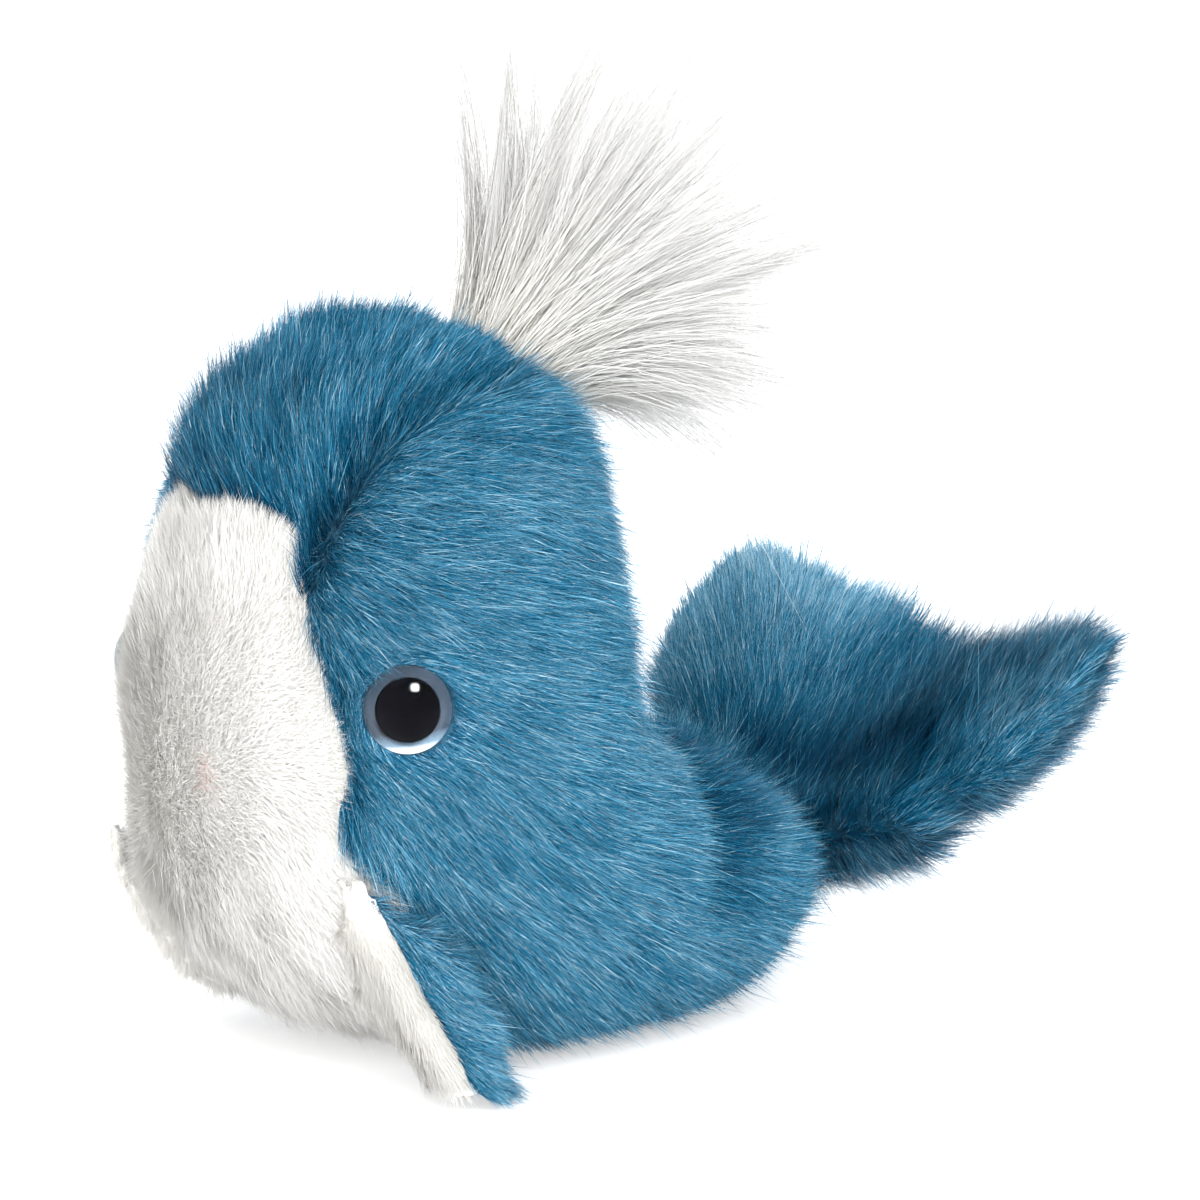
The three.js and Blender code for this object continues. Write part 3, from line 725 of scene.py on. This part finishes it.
bluePile = {
    "tones": [
        (0.0, (0.001, 0.04, 0.095)),
        (0.3, (0.004, 0.13, 0.24)),
        (0.55, (0.045, 0.25, 0.41)),
        (0.8, (0.16, 0.43, 0.6)),
        (1.0, (0.45, 0.68, 0.8)),
    ],
    # dark roots: painted shade deep in the pile
    "depth": [(0.0, (0.35, 0.45, 0.55)), (0.45, (0.8, 0.88, 0.92)), (1.0, (1.0, 1.0, 1.0))],
    "glint": (0.5, 0.72, 0.83),
    "glintShare": 0.67,  # less of this gives more and longer painted glints
    "roughness": 0.32,
    "specular": 0.05,
}
whitePile = {
    "tones": [
        (0.0, (0.74, 0.73, 0.7)),
        (0.2, (0.88, 0.865, 0.83)),
        (0.4, (0.94, 0.93, 0.905)),
        (0.8, (0.965, 0.96, 0.94)),
        (0.9, (0.965, 0.96, 0.94)),
        (0.95, (0.93, 0.62, 0.6)),
    ],
    "depth": [(0.0, (0.98, 0.98, 0.97)), (0.5, (0.99, 0.99, 0.99)), (1.0, (1.0, 1.0, 1.0))],
    "glint": (0.97, 0.97, 0.96),
    "glintShare": 0.62,
    "roughness": 0.6,
    "specular": 0.03,
}
spoutPile = {
    "tones": [
        (0.0, (0.8, 0.79, 0.77)),
        (0.5, (0.85, 0.845, 0.83)),
        (1.0, (0.9, 0.9, 0.89)),
    ],
    "depth": [(0.0, (0.98, 0.97, 0.92)), (0.4, (0.97, 0.97, 0.95)), (1.0, (0.95, 0.95, 0.96))],
    "glint": (0.97, 0.97, 0.96),
    "glintShare": 0.62,
    "roughness": 0.4,
    "specular": 0.2,
}
strandLook, knitLook = strandGroup(), knitGroup()
finishes = {
    "blue": pileMaterial("bluePileFur", bluePile),
    "white": pileMaterial("whitePileFur", whitePile),
    "spout": pileMaterial("spoutPileFur", spoutPile),
    "blueBacking": backingMaterial("blueKnitBacking", (0.01, 0.06, 0.11), (0.03, 0.13, 0.21)),
    "whiteBacking": backingMaterial("whiteKnitBacking", (0.84, 0.83, 0.79), (0.92, 0.91, 0.88)),
    "fibre": backingMaterial("fibreFilling", (0.7, 0.69, 0.66), (0.88, 0.87, 0.84)),
}


# ---- eyes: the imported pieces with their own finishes

def nodePoints(name):
    return np.array([v.co[:] for v in nodes[name].data.vertices])


def eyePlace(side):
    centre = nodePoints(f"eye_{side}_pupil").mean(axis=0)
    axis = unit(centre - nodePoints(f"eye_{side}_washer").mean(axis=0))
    return centre, axis, 5.9 * mm, 7.0 * mm  # and how wide the pile parts round it


domeShape = {
    "radius": 6.02 * mm,
    "height": 3.6 * mm,  # of the dome over its rim
    "below": 0.4 * mm,  # how far its flat back lies under the middle of the pupil, against the iris
    "rim": 0.25 * mm,
    "steps": 14,
    "turns": 120,
}


def makeDome(name, side, material, s):
    centre, axis = eyePlace(side)[:2]
    curve = (s["radius"] ** 2 + s["height"] ** 2) / (2 * s["height"])
    low = -s["below"]
    rimAngle = np.arcsin(s["radius"] / curve)
    bm = bmesh.new()
    profile = [bm.verts.new((0, 0, low)), bm.verts.new((s["radius"] - s["rim"] / 2, 0, low))]
    for step in range(s["steps"] + 1):
        angle = rimAngle * (1 - step / s["steps"])
        z = low + s["rim"] + s["height"] - curve * (1 - cos(angle))
        profile.append(bm.verts.new((curve * sin(angle), 0, z)))
    edges = [bm.edges.new(pair) for pair in zip(profile, profile[1:])]
    bmesh.ops.spin(bm, geom=profile + edges, cent=(0, 0, 0), axis=(0, 0, 1), angle=2 * pi,
                   steps=s["turns"], use_merge=True)
    bmesh.ops.remove_doubles(bm, verts=bm.verts, dist=1e-7)
    bmesh.ops.recalc_face_normals(bm, faces=bm.faces)
    turn = Vector((0, 0, 1)).rotation_difference(Vector(axis)).to_matrix().to_4x4()
    bmesh.ops.transform(bm, matrix=Matrix.Translation(Vector(centre)) @ turn, verts=bm.verts)
    dome = newObject(name, meshFrom(bm, name, smooth=True))
    dome.data.materials.append(material)
    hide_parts(f"eye_{side}_lens")
    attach(dome, "body")
    linkDome(dome)


def finishNode(name, material):
    data = nodes[name].data
    data.materials.clear()
    data.materials.append(material)


def irisMaterial(name, centre, low, look):
    # a slate ring with painted light towards its lower edge: a painted glow where the dome would gather the
    # light
    material, tree, shader = newMaterial(name, {"Roughness": 0.5, "Specular IOR Level": 0.1})
    where = addNode(tree, "ShaderNodeTexCoord")
    shift = addNode(tree, "ShaderNodeVectorMath", operation="SUBTRACT")
    shift.inputs[1].default_value = centre
    dot = addNode(tree, "ShaderNodeVectorMath", operation="DOT_PRODUCT")
    dot.inputs[1].default_value = low
    spread = addNode(tree, "ShaderNodeMapRange", **{"From Min": look["from"], "From Max": look["to"]})
    shade = ramp(tree, [(0.0, look["ring"]), (0.55, look["mid"]), (1.0, look["glow"])])
    wire(
        tree,
        (where, "Object", shift, 0),
        (shift, 0, dot, 0),
        (dot, "Value", spread, "Value"),
        (spread, "Result", shade, 0),
        (shade, 0, shader, "Base Color"),
    )
    return material


eyeLook = {
    "dome": {
        "Base Color": (1, 1, 1, 1), "Roughness": 0.02, "Transmission Weight": 1, "IOR": 1.38,
        "Specular Tint": (0.1, 0.1, 0.1, 1),
    },
    "pupil": {"Base Color": (0.001, 0.001, 0.0015, 1), "Roughness": 0.35, "Specular IOR Level": 0.0},
    "washer": {"Base Color": (0.8, 0.79, 0.75, 1), "Roughness": 0.45},
    "ring": (0.018, 0.027, 0.04),
    "mid": (0.12, 0.18, 0.24),
    # painted glow: light gathered by the dome, painted into the iris colour
    "glow": (0.93, 0.98, 1.0),
    "from": 2.8 * mm,  # the iris turns from the ring's colour to the painted glow this far below its middle
    "to": 5.6 * mm,
    "down": (0.0, 0.15, -1.0),
}


def finishEyes(look):
    dome = newMaterial("clearDome", look["dome"])[0]
    pupil = newMaterial("blackPupil", look["pupil"])[0]
    washer = newMaterial("washerNylon", look["washer"])[0]
    down = np.array(look["down"])
    for side in ("left", "right"):
        centre, axis = eyePlace(side)[:2]
        low = unit(down - axis * (down @ axis))
        makeDome(f"eye{side.title()}Dome", side, dome, domeShape)
        finishNode(f"eye_{side}_pupil", pupil)
        finishNode(f"eye_{side}_iris", irisMaterial(f"slateIris{side.title()}", centre, low, look))
        finishNode(f"eye_{side}_washer", washer)


finishEyes(eyeLook)
eyes = [eyePlace("left"), eyePlace("right")]
print("stage: finishes and eyes")


# ---- body

bodyCloth = {
    "voxel": 1.5 * mm,
    "smoothing": 8,
    "depth": 3.0 * mm,  # how far the cloth's face lies under the tips of the pile
    "crownExtra": 0.9 * mm,  # and how much deeper on the crown, where the pile is longest
    "crownReach": 0.5 * mm,
    "thickness": 1.0 * mm,
    "fillingGap": 1.4 * mm,
    "grooveDepth": 0.9 * mm,  # how the cloth is drawn in at a seam
    "grooveWidth": 1.4 * mm,
    "halfAt": 2 * mm,  # where the pile of a side panel is parted in two pieces
    "ringRise": 2,  # mm from the spout's seat to the middle of the ring where the pile parts round it
    "ringRadius": 7.4 * mm,
    "ringReach": 9.0 * mm,
}


spoutHole = {"patch": 6 * mm, "radius": 9.2 * mm, "below": 8 * mm}


def spoutRim(s):  # the corners of the panels round the hole that the spout sits in
    place = nodePoints("spout_tuft")
    centre = place[place[:, 2] < place[:, 2].min() + s["patch"]].mean(axis=0)
    rim = []
    for name in ("crown_gusset", "side_panel_left", "side_panel_right"):
        place = nodePoints(name)
        gap = np.hypot(place[:, 0] - centre[0], place[:, 1] - centre[1])
        rim.append(place[(gap < s["radius"]) & (place[:, 2] > centre[2] - s["below"])])
    return np.concatenate(rim)


def spoutSeat():  # the middle and the direction of the sewn patch, from its flat underside
    mesh = nodes["spout_tuft"].data
    under = max((f for f in mesh.polygons if f.normal.z < -0.3), key=lambda f: f.area)
    flat = [f for f in mesh.polygons if f.normal.dot(under.normal) > 0.9995]
    middle = sum((f.center * f.area for f in flat), Vector()) / sum(f.area for f in flat)
    return np.array(middle), -np.array(under.normal)


def distances(bm, name):
    tree = nodeTree(name)
    return np.array([tree.find_nearest(v.co)[3] for v in bm.verts])


def fillingPiece(name, form, gap, body, replaced):
    bm = form.copy()
    sunk(bm, [gap] * len(bm.verts))
    piece = newObject(name, meshFrom(bm, name, smooth=True))
    piece.data.materials.append(finishes["fibre"])
    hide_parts(replaced)
    seat(piece, body)


faceSeam = [
    # the seam is hand sewn, so it wanders a little from the pattern: how far outwards,
    # on which side, and across and up where that starts and its width, all in mm
    (1.4, 1, (10, 8), [(30, 12), (82, -16)]),
    (-2.0, 1, (10, 8), [(36, -8), (12, 6)]),
    (-4.5, -1, (10, 6), [(38, 14)]),
]


def seamShift(place, parts):
    shift = np.zeros(len(place))
    for far, side, across, heights in parts:
        where = ease(side * (place[:, 0] / mm), *across)
        for height in heights:
            where = where * ease(place[:, 2] / mm, *height)
        shift += far * mm * where
    return shift


bodyPanels = ["face_belly_panel", "crown_gusset", "side_panel_left", "side_panel_right"]
bodyInside = ["body_filling", "eye_left_lens", "eye_left_iris", "eye_right_lens", "eye_right_iris"]
bodyForm = closedForm(
    bodyPanels + bodyInside, [spoutRim(spoutHole)], bodyCloth["voxel"], bodyCloth["smoothing"])
bodyGaps = {name: distances(bodyForm, name) for name in bodyPanels + ["spout_tuft"]}
bodyPoints = meshArrays(bodyForm)[0]
onCrown = bodyGaps["crown_gusset"] < bodyCloth["crownReach"]
bodyDepth = bodyCloth["depth"] + bodyCloth["crownExtra"] * onCrown
bodyDepth = bodyDepth + tailFold["depth"] * foldShare(bodyPoints, tailFold, tailFold["width"])
bodyGaps["face_belly_panel"] = bodyGaps["face_belly_panel"] + seamShift(bodyPoints, faceSeam)
sunk(bodyForm, bodyDepth)
print("stage: body form,", len(bodyForm.faces), "faces")

sideGuides = [
    # where on the left side, mm; the way that the pile lies
    ((20, -35, 80), (0.1, 0.85, -0.45)),
    ((30, -30, 55), (0, 0.9, -0.4)),
    ((38, -5, 55), (0, 0.9, -0.42)),
    ((25, 10, 92), (0.1, 0.85, -0.6)),
    ((10, 22, 80), (0.2, 0.3, -0.95)),
    ((30, 20, 60), (0, 0.75, -0.6)),
    ((34, -30, 30), (0, 0.7, -0.68)),
    ((36, -15, 14), (0, 0.7, -0.72)),
    ((38, 5, 25), (0, 0.87, -0.45)),
    ((34, 20, 10), (0, 0.87, -0.42)),
    ((30, 35, 40), (0, 0.96, -0.2)),
    ((22, 55, 28), (0, 0.98, -0.05)),
    ((10, 35, 48), (0.1, 0.97, -0.1)),
]
sidePile = {  # lengths in mm, angles in degrees, tones from 0 dark to 1 pale
    "seed": 11, "perSquareMm": 11.0, "finePerSquareMm": 21.0, "steps": 3, "leanRoot": 46, "leanTip": 74,
    "leanJitter": 9, "length": 6.3, "uneven": 0.22, "width": 0.1, "flyaways": 0.05,
    "swirl": 9, "swirlSize": 22, "stray": 11, "clump": 0.4, "clumpEvery": 11, "clumpTone": 0.06, "twist": 36,
    "seamWidth": 2.0, "seamShort": 0.15, "seamDark": 0.14,
    "tone": 0.47, "toneSpread": 0.2, "toneWaves": 0.05, "softness": 0.15,
    "thin": lambda place: np.where(place[:, 2] < 3 * mm, 0.3, 1.0),
    "guides": sideGuides,
    # painted shade in and behind the tail fold
    "tint": lambda place, tone, rng: tone - tailFold["dark"] * foldShare(place, tailFold, tailFold["shade"]),
}
gussetPile = dict(
    sidePile, seed=23, length=7.6, steps=4, leanRoot=40, leanTip=66, perSquareMm=13.0, finePerSquareMm=18.0,
    # the gusset's lower tone is painted shade, for how its nap faces the light
    tone=0.34, swirl=10, clump=0.5, clumpEvery=16, clumpTone=0.09, flyaways=0.08,
    trim=lambda place: 1 - 0.45 * ease(place[:, 1], -22 * mm, 24 * mm),
    guides=[
        ((0, -42, 75), (0, 0.2, 1)),
        ((12, -38, 75), (-0.15, 0.25, 1)),
        ((-12, -38, 75), (0.15, 0.25, 1)),
        ((0, -30, 95), (0, 0.6, 0.7)),
        ((0, -5, 106), (0, 1, 0.1)),
        ((15, -15, 98), (0, 0.9, 0.3)),
        ((-15, -15, 98), (0, 0.9, 0.3)),
    ],
)


palest = 0.88  # white pile stays under this tone, as the pink mark lies above it
blushMark = {"place": (0, -41, 42), "size": 1.8 * mm, "share": 0.6, "tone": 0.97}
longTufts = {  # longer on the right cheek, in front of the eye, and over each flipper's root
    "places": ((-25, -36, 52), (-24, -34, 28), (25, -34, 27), (25, -31, 16)),
    "size": 8 * mm,
    "extra": 0.6,
}


def bump(place, spot, size):  # 1 at a spot given in mm, falling to 0 within about twice the size
    gap = np.linalg.norm(place - np.array(spot) * mm, axis=1)
    return np.exp(-((gap / size) ** 2))


def blush(place, tone, rng):  # a faint pink mark in the middle of the face
    s = blushMark
    pink = rng.random(len(place)) < s["share"] * bump(place, s["place"], s["size"])
    return np.where(pink, s["tone"], np.minimum(tone, palest))


def cheekTrim(place):
    length = np.ones(len(place))
    for spot in longTufts["places"]:
        length += longTufts["extra"] * bump(place, spot, longTufts["size"])
    return length


facePile = dict(
    sidePile, seed=31, length=4.4, perSquareMm=13.0, finePerSquareMm=28.0, leanRoot=50, leanJitter=7,
    twist=18, tone=0.6, toneSpread=0.07, toneWaves=0.03, softness=0.6, seamDark=0.03, seamShort=0.4,
    seamWidth=2.6, swirl=12, swirlSize=16, stray=14, clump=0.2, clumpTone=0.0, flyaways=0.015,
    tint=blush, trim=cheekTrim,
    thin=lambda place: np.where(place[:, 2] < 4 * mm, 0.12, 1.0),
    guides=[
        ((4, -42, 75), (0.4, 0.1, 0.9)),
        ((22, -38, 70), (0.75, 0.3, 0.6)),
        ((2, -43, 52), (0.85, 0, 0.5)),
        ((20, -41, 48), (0.9, 0.3, 0.25)),
        ((4, -41, 35), (0.95, 0, -0.05)),
        ((24, -38, 32), (0.85, 0.35, -0.35)),
        ((2, -37, 22), (0.8, 0.1, -0.5)),
        ((20, -34, 18), (0.75, 0.4, -0.5)),
        ((2, -30, 9), (0.5, 0.6, -0.5)),
        ((14, -26, 7), (0.6, 0.7, -0.3)),
        ((-24, -38, 68), (-0.1, 0.2, 1)),
        ((-26, -37, 45), (0.5, 0, 0.8)),
        ((-24, -35, 24), (0.7, 0, 0)),
        ((-14, -30, 9), (0.4, 0.6, -0.5)),
        ((0, -10, 1), (0, 1, 0)),
    ],
)


def mirroredGuides(guides):
    return [((-x, y, z), (-dx, dy, dz)) for (x, y, z), (dx, dy, dz) in guides]


rightPile = dict(
    sidePile, seed=12, perSquareMm=8.0, finePerSquareMm=11.0, guides=mirroredGuides(sideGuides),
    trim=lambda place: 1 - 0.55 * ease(-place[:, 1], 18 * mm, 8 * mm) * (place[:, 2] > 30 * mm),
)


def dressBody(s):
    under, axis = spoutSeat()
    spoutRing = [(under + axis * s["ringRise"] * mm, axis, s["ringRadius"], s["ringReach"])]
    pieces = {
        "face_belly_panel": ("faceBelly", "white", facePile, ()),
        "crown_gusset": ("crownGusset", "blue", gussetPile, spoutRing),
        "side_panel_left": ("sidePanelLeft", "blue", sidePile, eyes[:1] + spoutRing),
        "side_panel_right": ("sidePanelRight", "blue", rightPile, eyes[1:] + spoutRing),
    }
    halves = [
        ("Front", lambda place: place[:, 1] < s["halfAt"]),
        ("Back", lambda place: place[:, 1] >= s["halfAt"]),
    ]
    for node, (name, finish, pile, rings) in pieces.items():
        parts = halves if node.startswith("side") else [("", None)]
        dressSheet(name, bodyForm, bodyGaps, node, finish, pile, "body", s, rings, parts)
    fillingPiece("bodyFilling", bodyForm, s["thickness"] + s["fillingGap"], "body", "body_filling")


dressBody(bodyCloth)
print("stage: body dressed")


# ---- spout: long silky fibres in pointed locks that fan out of their patch

spoutShape = {
    "seed": 41,
    "patch": 5 * mm,  # how thick the sewn patch is, and how deep in it the fibres start
    "sunk": 3.2 * mm,
    "behind": 2.4 * mm,
    "radius": 6.8 * mm,
    "rootSpread": 1.1 * mm,
    "locks": 110,
    "fibresPerLock": 88,
    "loose": 4200,
    "length": 70 * mm,
    "shorter": 0.45,  # by how much the shortest lock is shorter
    "upLength": (0.76, 0.3),  # shares of a lock's length: of one that lies flat, and added where it stands
    "looseLength": (0.5, 1.2),
    "lockLength": (0.55, 1.0),
    "highest": 143.5 * mm,
    "widest": 56 * mm,  # half of it
    "fan": 42,
    "lean": 15,
    "spread": (0.13, 0.016, 0.14),  # of whole locks, of the fibres in one and of the loose ones
    "bend": (0.09, 0.03),  # the same for how they bend, in shares of the length
    "droop": 0.1,
    "gather": 0.78,  # how far the tips of a lock come together
    "steps": 6,
    "width": 0.12 * mm,
    "taper": 0.35,
    "softness": 0.6,
    "patchGroove": (0.6 * mm, 1.2 * mm),
}


def growSpout(s):
    rng = np.random.default_rng(s["seed"])
    under, axis = spoutSeat()
    sideways = np.array([1.0, 0, 0])
    back = np.cross(axis, sideways)
    centre = under + axis * (s["patch"] - s["sunk"]) + back * s["behind"]
    lockCount = s["locks"]
    golden = pi * (3 - 5**0.5)
    tilt = radians(s["lean"])
    lockSpread, fibreSpread, looseSpread = s["spread"]
    lockBend, fibreBend = s["bend"]
    flat, standing = s["upLength"]
    steps = np.linspace(0, 1, s["steps"])
    strands, tones, widths = [], [], []
    for i in range(lockCount + 1):
        loose = i == lockCount
        n = s["loose"] if loose else s["fibresPerLock"]
        share = np.sqrt(rng.random(n)) if loose else np.full(n, np.sqrt((i + 0.5) / lockCount))
        turn = rng.uniform(0, 2 * pi, n) if loose else np.full(n, i * golden)
        ring = sideways * (np.cos(turn) * share)[:, None] + back * (np.sin(turn) * share)[:, None]
        root = centre + ring * s["radius"] + rng.normal(size=(n, 3)) * s["rootSpread"]
        lean = np.radians(s["fan"]) * share
        way = (
            sideways * (np.sin(lean) * np.cos(turn))[:, None]
            + (back * cos(tilt) - axis * sin(tilt)) * (np.sin(lean) * np.sin(turn))[:, None]
            + (axis * cos(tilt) + back * sin(tilt)) * np.cos(lean)[:, None]
        )
        way = way + rng.normal(size=(1, 3)) * lockSpread
        way = unit(way + rng.normal(size=(n, 3)) * (looseSpread if loose else fibreSpread))
        upright = flat + standing * np.clip(way[:, 2], 0, 1)
        lockLength = s["length"] * (1 - s["shorter"] * rng.random() ** 1.5) * upright
        fibre = lockLength * rng.uniform(*s["looseLength" if loose else "lockLength"], n)
        bend = rng.normal(size=(1, 3)) * lockBend + rng.normal(size=(n, 3)) * fibreBend
        fall = np.array([0, 0, -1]) * (fibre * s["droop"] * share)[:, None]
        tip = centre + (root - centre) * 0.6 + way * fibre[:, None] + fall
        middle = root + unit(axis + 0.35 * way) * (fibre * 0.42)[:, None] + bend * fibre[:, None]
        lockTip = tip.mean(axis=0) + (way[0] * lockLength.mean() * 0.05)
        gather = 0 if loose else s["gather"]
        tip = tip + (lockTip + way * (fibre - fibre.mean())[:, None] - tip) * gather
        curve = (
            root[:, None] * ((1 - steps) ** 2)[None, :, None]
            + middle[:, None] * (2 * steps * (1 - steps))[None, :, None]
            + tip[:, None] * (steps**2)[None, :, None]
        )
        curve[..., 2] = np.minimum(curve[..., 2], s["highest"])
        curve[..., 0] = np.clip(curve[..., 0], -s["widest"], s["widest"])
        strands.append(curve)
        tones.append(np.clip(0.55 + 0.18 * rng.normal() + 0.16 * rng.normal(size=n), 0.02, 0.98))
        widths.append(s["width"] * rng.uniform(0.6, 1.2, n))
    curves = np.concatenate(strands)
    total = len(curves)
    taper = np.linspace(1, s["taper"], s["steps"])
    widths = np.concatenate(widths)[:, None] * taper[None, :]
    direction = unit(curves[:, -1] - curves[:, 0])
    side = unit(np.cross(direction, rng.normal(size=(total, 3))))
    outward = unit(curves.mean(axis=1) - centre - axis * 12 * mm) + np.array([0, 0, 0.7])
    away = (np.cross(curves[:, -1] - curves[:, 0], side) * outward).sum(axis=1) < 0
    side[away] *= -1
    tone = np.concatenate(tones)
    piece = strandMesh("spoutFibres", curves, widths, side, steps, tone, outward, s["softness"])
    piece.data.materials.append(finishes["spout"])
    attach(piece, "body")
    patch = panelSheet(bodyForm, bodyGaps, "spout_tuft", *s["patchGroove"])
    clothPiece("spoutPatchCloth", patch, bodyCloth["thickness"], finishes["whiteBacking"], "body",
               ["spout_tuft"])
    print("pile: spoutFibres", total, "strands,", len(piece.data.polygons), "triangles")


growSpout(spoutShape)
print("stage: spout")


# ---- limbs: a flipper on each side and the fluke, each sewn from two cloths and stuffed

limbCloth = {
    "voxel": 1.2 * mm,
    "smoothing": 5,
    "depth": 2.6 * mm,
    "thickness": 0.9 * mm,
    "fillingGap": 1.6 * mm,
    "reach": 4 * mm,  # how far the sewn root goes into the body, and how long the root is
    "rootLength": 9 * mm,
    "grooveDepth": 0.7 * mm,
    "grooveWidth": 1.3 * mm,
}


def limbForm(members, hinge, s):
    form = closedForm(members, [], s["voxel"], s["smoothing"])
    gaps = {name: distances(form, name) for name in members[:2]}
    place, _ = meshArrays(form)
    toRoot = unit(np.array(hinge) - place.mean(axis=0))
    form.normal_update()
    _, normal = meshArrays(form)
    nearRoot = toRoot @ (np.array(hinge) - place).T / s["rootLength"] < 1
    rootward = ease(normal @ toRoot, 0.3, 0.5) * nearRoot
    depth = s["depth"] * (1 - rootward) - s["reach"] * rootward
    sunk(form, depth)
    return form, gaps


flukePile = dict(
    sidePile, seed=51, length=7.9, width=0.086, uneven=0.28, steps=4, perSquareMm=9.5, finePerSquareMm=15.0,
    leanRoot=44, leanTip=70, tone=0.27, clump=0.5, clumpEvery=14, clumpTone=0.09, flyaways=0.1, swirl=12,
    swirlSize=20, seamWidth=3.0, softness=0.5,
    trim=lambda place: 1 - 0.45 * ease(np.abs(place[:, 0]) / mm, 31, 8) - 0.2 * (place[:, 0] < -16 * mm),
    guides=[
        ((0, 66, 28), (0.3, 0.9, 0.1)),
        ((10, 72, 31), (0.8, 0.55, 0.15)),
        ((22, 76, 34), (0.85, 0.4, 0.3)),
        ((14, 90, 40), (0.65, 0.6, 0.4)),
        ((36, 84, 44), (0.65, 0.4, 0.6)),
        ((0, 84, 38), (0.2, 0.85, 0.4)),
        ((-12, 90, 42), (-0.1, 0.8, 0.5)),
        ((-20, 76, 36), (-0.6, 0.3, 0.7)),
        ((-36, 84, 50), (-0.5, 0.25, 0.85)),
    ],
)
flipperPile = dict(
    sidePile, seed=61, length=5.2, leanRoot=42, leanTip=70, tone=0.6, clump=0.36,
    guides=[
        ((30, -32, 32), (0.5, 0.6, -0.6)),
        ((45, -25, 20), (0.5, 0.6, -0.65)),
        ((42, -15, 8), (0.3, 0.6, -0.7)),
    ],
)
# the inner flipper's low tone is painted shade, greying the white where the lamps light it brightly
flipperUnderPile = dict(
    facePile, seed=71, length=3.9, finePerSquareMm=20.0, leanRoot=56, leanTip=78, flyaways=0.0, tone=0.06,
    clump=0.06, uneven=0.12, stray=9, width=0.085,
    tint=lambda place, tone, rng: np.minimum(tone, palest),
    trim=lambda place: 1 - 0.5 * ease(place[:, 2], 18 * mm, 10 * mm),
    guides=[
        ((28, -36, 30), (0.5, 0.25, -0.85)),
        ((38, -32, 18), (0.5, 0.25, -0.85)),
        ((44, -22, 6), (0.45, 0.4, -0.8)),
    ],
)


def dressLimb(prefix, parts, filling, form, gaps, body, s):
    for name, node, finish, pile in parts:
        dressSheet(name, form, gaps, node, finish, pile, body, s)
    fillingPiece(f"{prefix}Filling", form, s["thickness"] + s["fillingGap"], body, filling)


flipperCloth = dict(
    limbCloth,
    reach=2 * mm,
    seamHalf=15,  # mm from the hinge's point down to the middle of the sewn edge
    bendBefore=1,  # mm before and after the hinge, between which it bends
    bendAfter=7,
)


def dressFlippers(s):
    for side in ("left", "right"):
        joint = joints[f"flipper_{side}_seam"]
        hinge, axis = Vector(joint["pos_m"]), Vector(joint["axis"]).normalized()
        name = f"flipper{side.title()}"
        members = [f"flipper_{side}_outer", f"flipper_{side}_inner", f"flipper_{side}_filling"]
        form, gaps = limbForm(members, hinge + (-axis if axis.z > 0 else axis) * s["seamHalf"] * mm, s)
        out = Vector(np.mean([v.co[:] for v in form.verts], axis=0)) - hinge
        out = (out - axis * out.dot(axis)).normalized()
        start, end = hinge - out * s["bendBefore"] * mm, hinge + out * s["bendAfter"] * mm
        bend = ("body", f"flipper_{side}", start, end)
        parts = []
        for part, node, finish, pile in (("Outer", members[0], "blue", flipperPile),
                                         ("Inner", members[1], "white", flipperUnderPile)):
            guides = pile["guides"] if side == "left" else mirroredGuides(pile["guides"])
            parts.append((f"{name}{part}", node, finish, dict(pile, guides=guides)))
        dressLimb(name, parts, members[2], form, gaps, bend, s)


flukeTones = {
    "hollow": ((4, 68, 28), (25, 76, 34)),  # the ends of the hollow on each lobe that is darkened as painted shade, mm, and its width
    "hollowWidth": 5.5,
    "hollowPaintedShade": 0.3,
    "edgePale": 0.2,  # how much paler the trailing edge is, each lobe's end as painted sheen, and the whole right lobe
    "endPaintedSheen": 0.2,
    "rightPale": 0.2,
    "root": (62, 22),  # back and up, mm, to where the fluke starts, and how steeply it rises
    "rise": 22,
    "edge": (16, 14),  # mm back from the root to where the pale edge starts, and its width
    "edgeSweep": 0.45,  # and how much farther back it is for each mm out
}


def flukeShade(place, tone, rng):
    s = flukeTones
    at = place / mm * np.where(place[:, :1] < 0, [[-1, 1, 1]], [[1, 1, 1]])
    start, end = (np.array(p, float) for p in s["hollow"])
    share = np.clip((at - start) @ (end - start) / ((end - start) @ (end - start)), 0, 1)
    gap = np.linalg.norm(at - start - share[:, None] * (end - start), axis=1)
    (rootBack, rootUp), rise, (edge, width) = s["root"], radians(s["rise"]), s["edge"]
    back = (at[:, 1] - rootBack) * cos(rise) + (at[:, 2] - rootUp) * sin(rise)
    trailing = ease(back - edge - s["edgeSweep"] * at[:, 0], 0, width) * ease(at[:, 0], 8, 8)
    # painted shade in each lobe's hollow
    tone = tone - s["hollowPaintedShade"] * np.exp(-((gap / s["hollowWidth"]) ** 2))
    tone += s["edgePale"] * trailing
    # painted sheen on each lobe's end
    tone += s["endPaintedSheen"] * ease(at[:, 0], 20, 12)
    return tone + s["rightPale"] * ease(-place[:, 0] / mm, 4, 8)


# the lower cloth's paler tone is painted light, against the shade on its downward face
flukeLowerPile = dict(
    flukePile, seed=52, length=7.2, steps=3, tone=0.66, perSquareMm=8.0, finePerSquareMm=12.0)
flukeCloth = dict(limbCloth, bendBefore=-1 * mm, bendAfter=9 * mm)


def dressFluke(s):
    hinge = Vector(joints["tail_seam"]["pos_m"])
    members = ["fluke_upper", "fluke_lower", "fluke_filling"]
    form, gaps = limbForm(members, hinge, s)
    bend = ("body", "fluke", hinge + Vector((0, s["bendBefore"], 0)), hinge + Vector((0, s["bendAfter"], 0)))
    dressLimb(
        "fluke",
        [("flukeUpper", members[0], "blue", dict(flukePile, tint=flukeShade)),
         ("flukeLower", members[1], "blue", flukeLowerPile)],
        members[2], form, gaps, bend, s,
    )


dressFlippers(flipperCloth)
dressFluke(flukeCloth)
print("stage: limbs dressed")

print("stage: done")
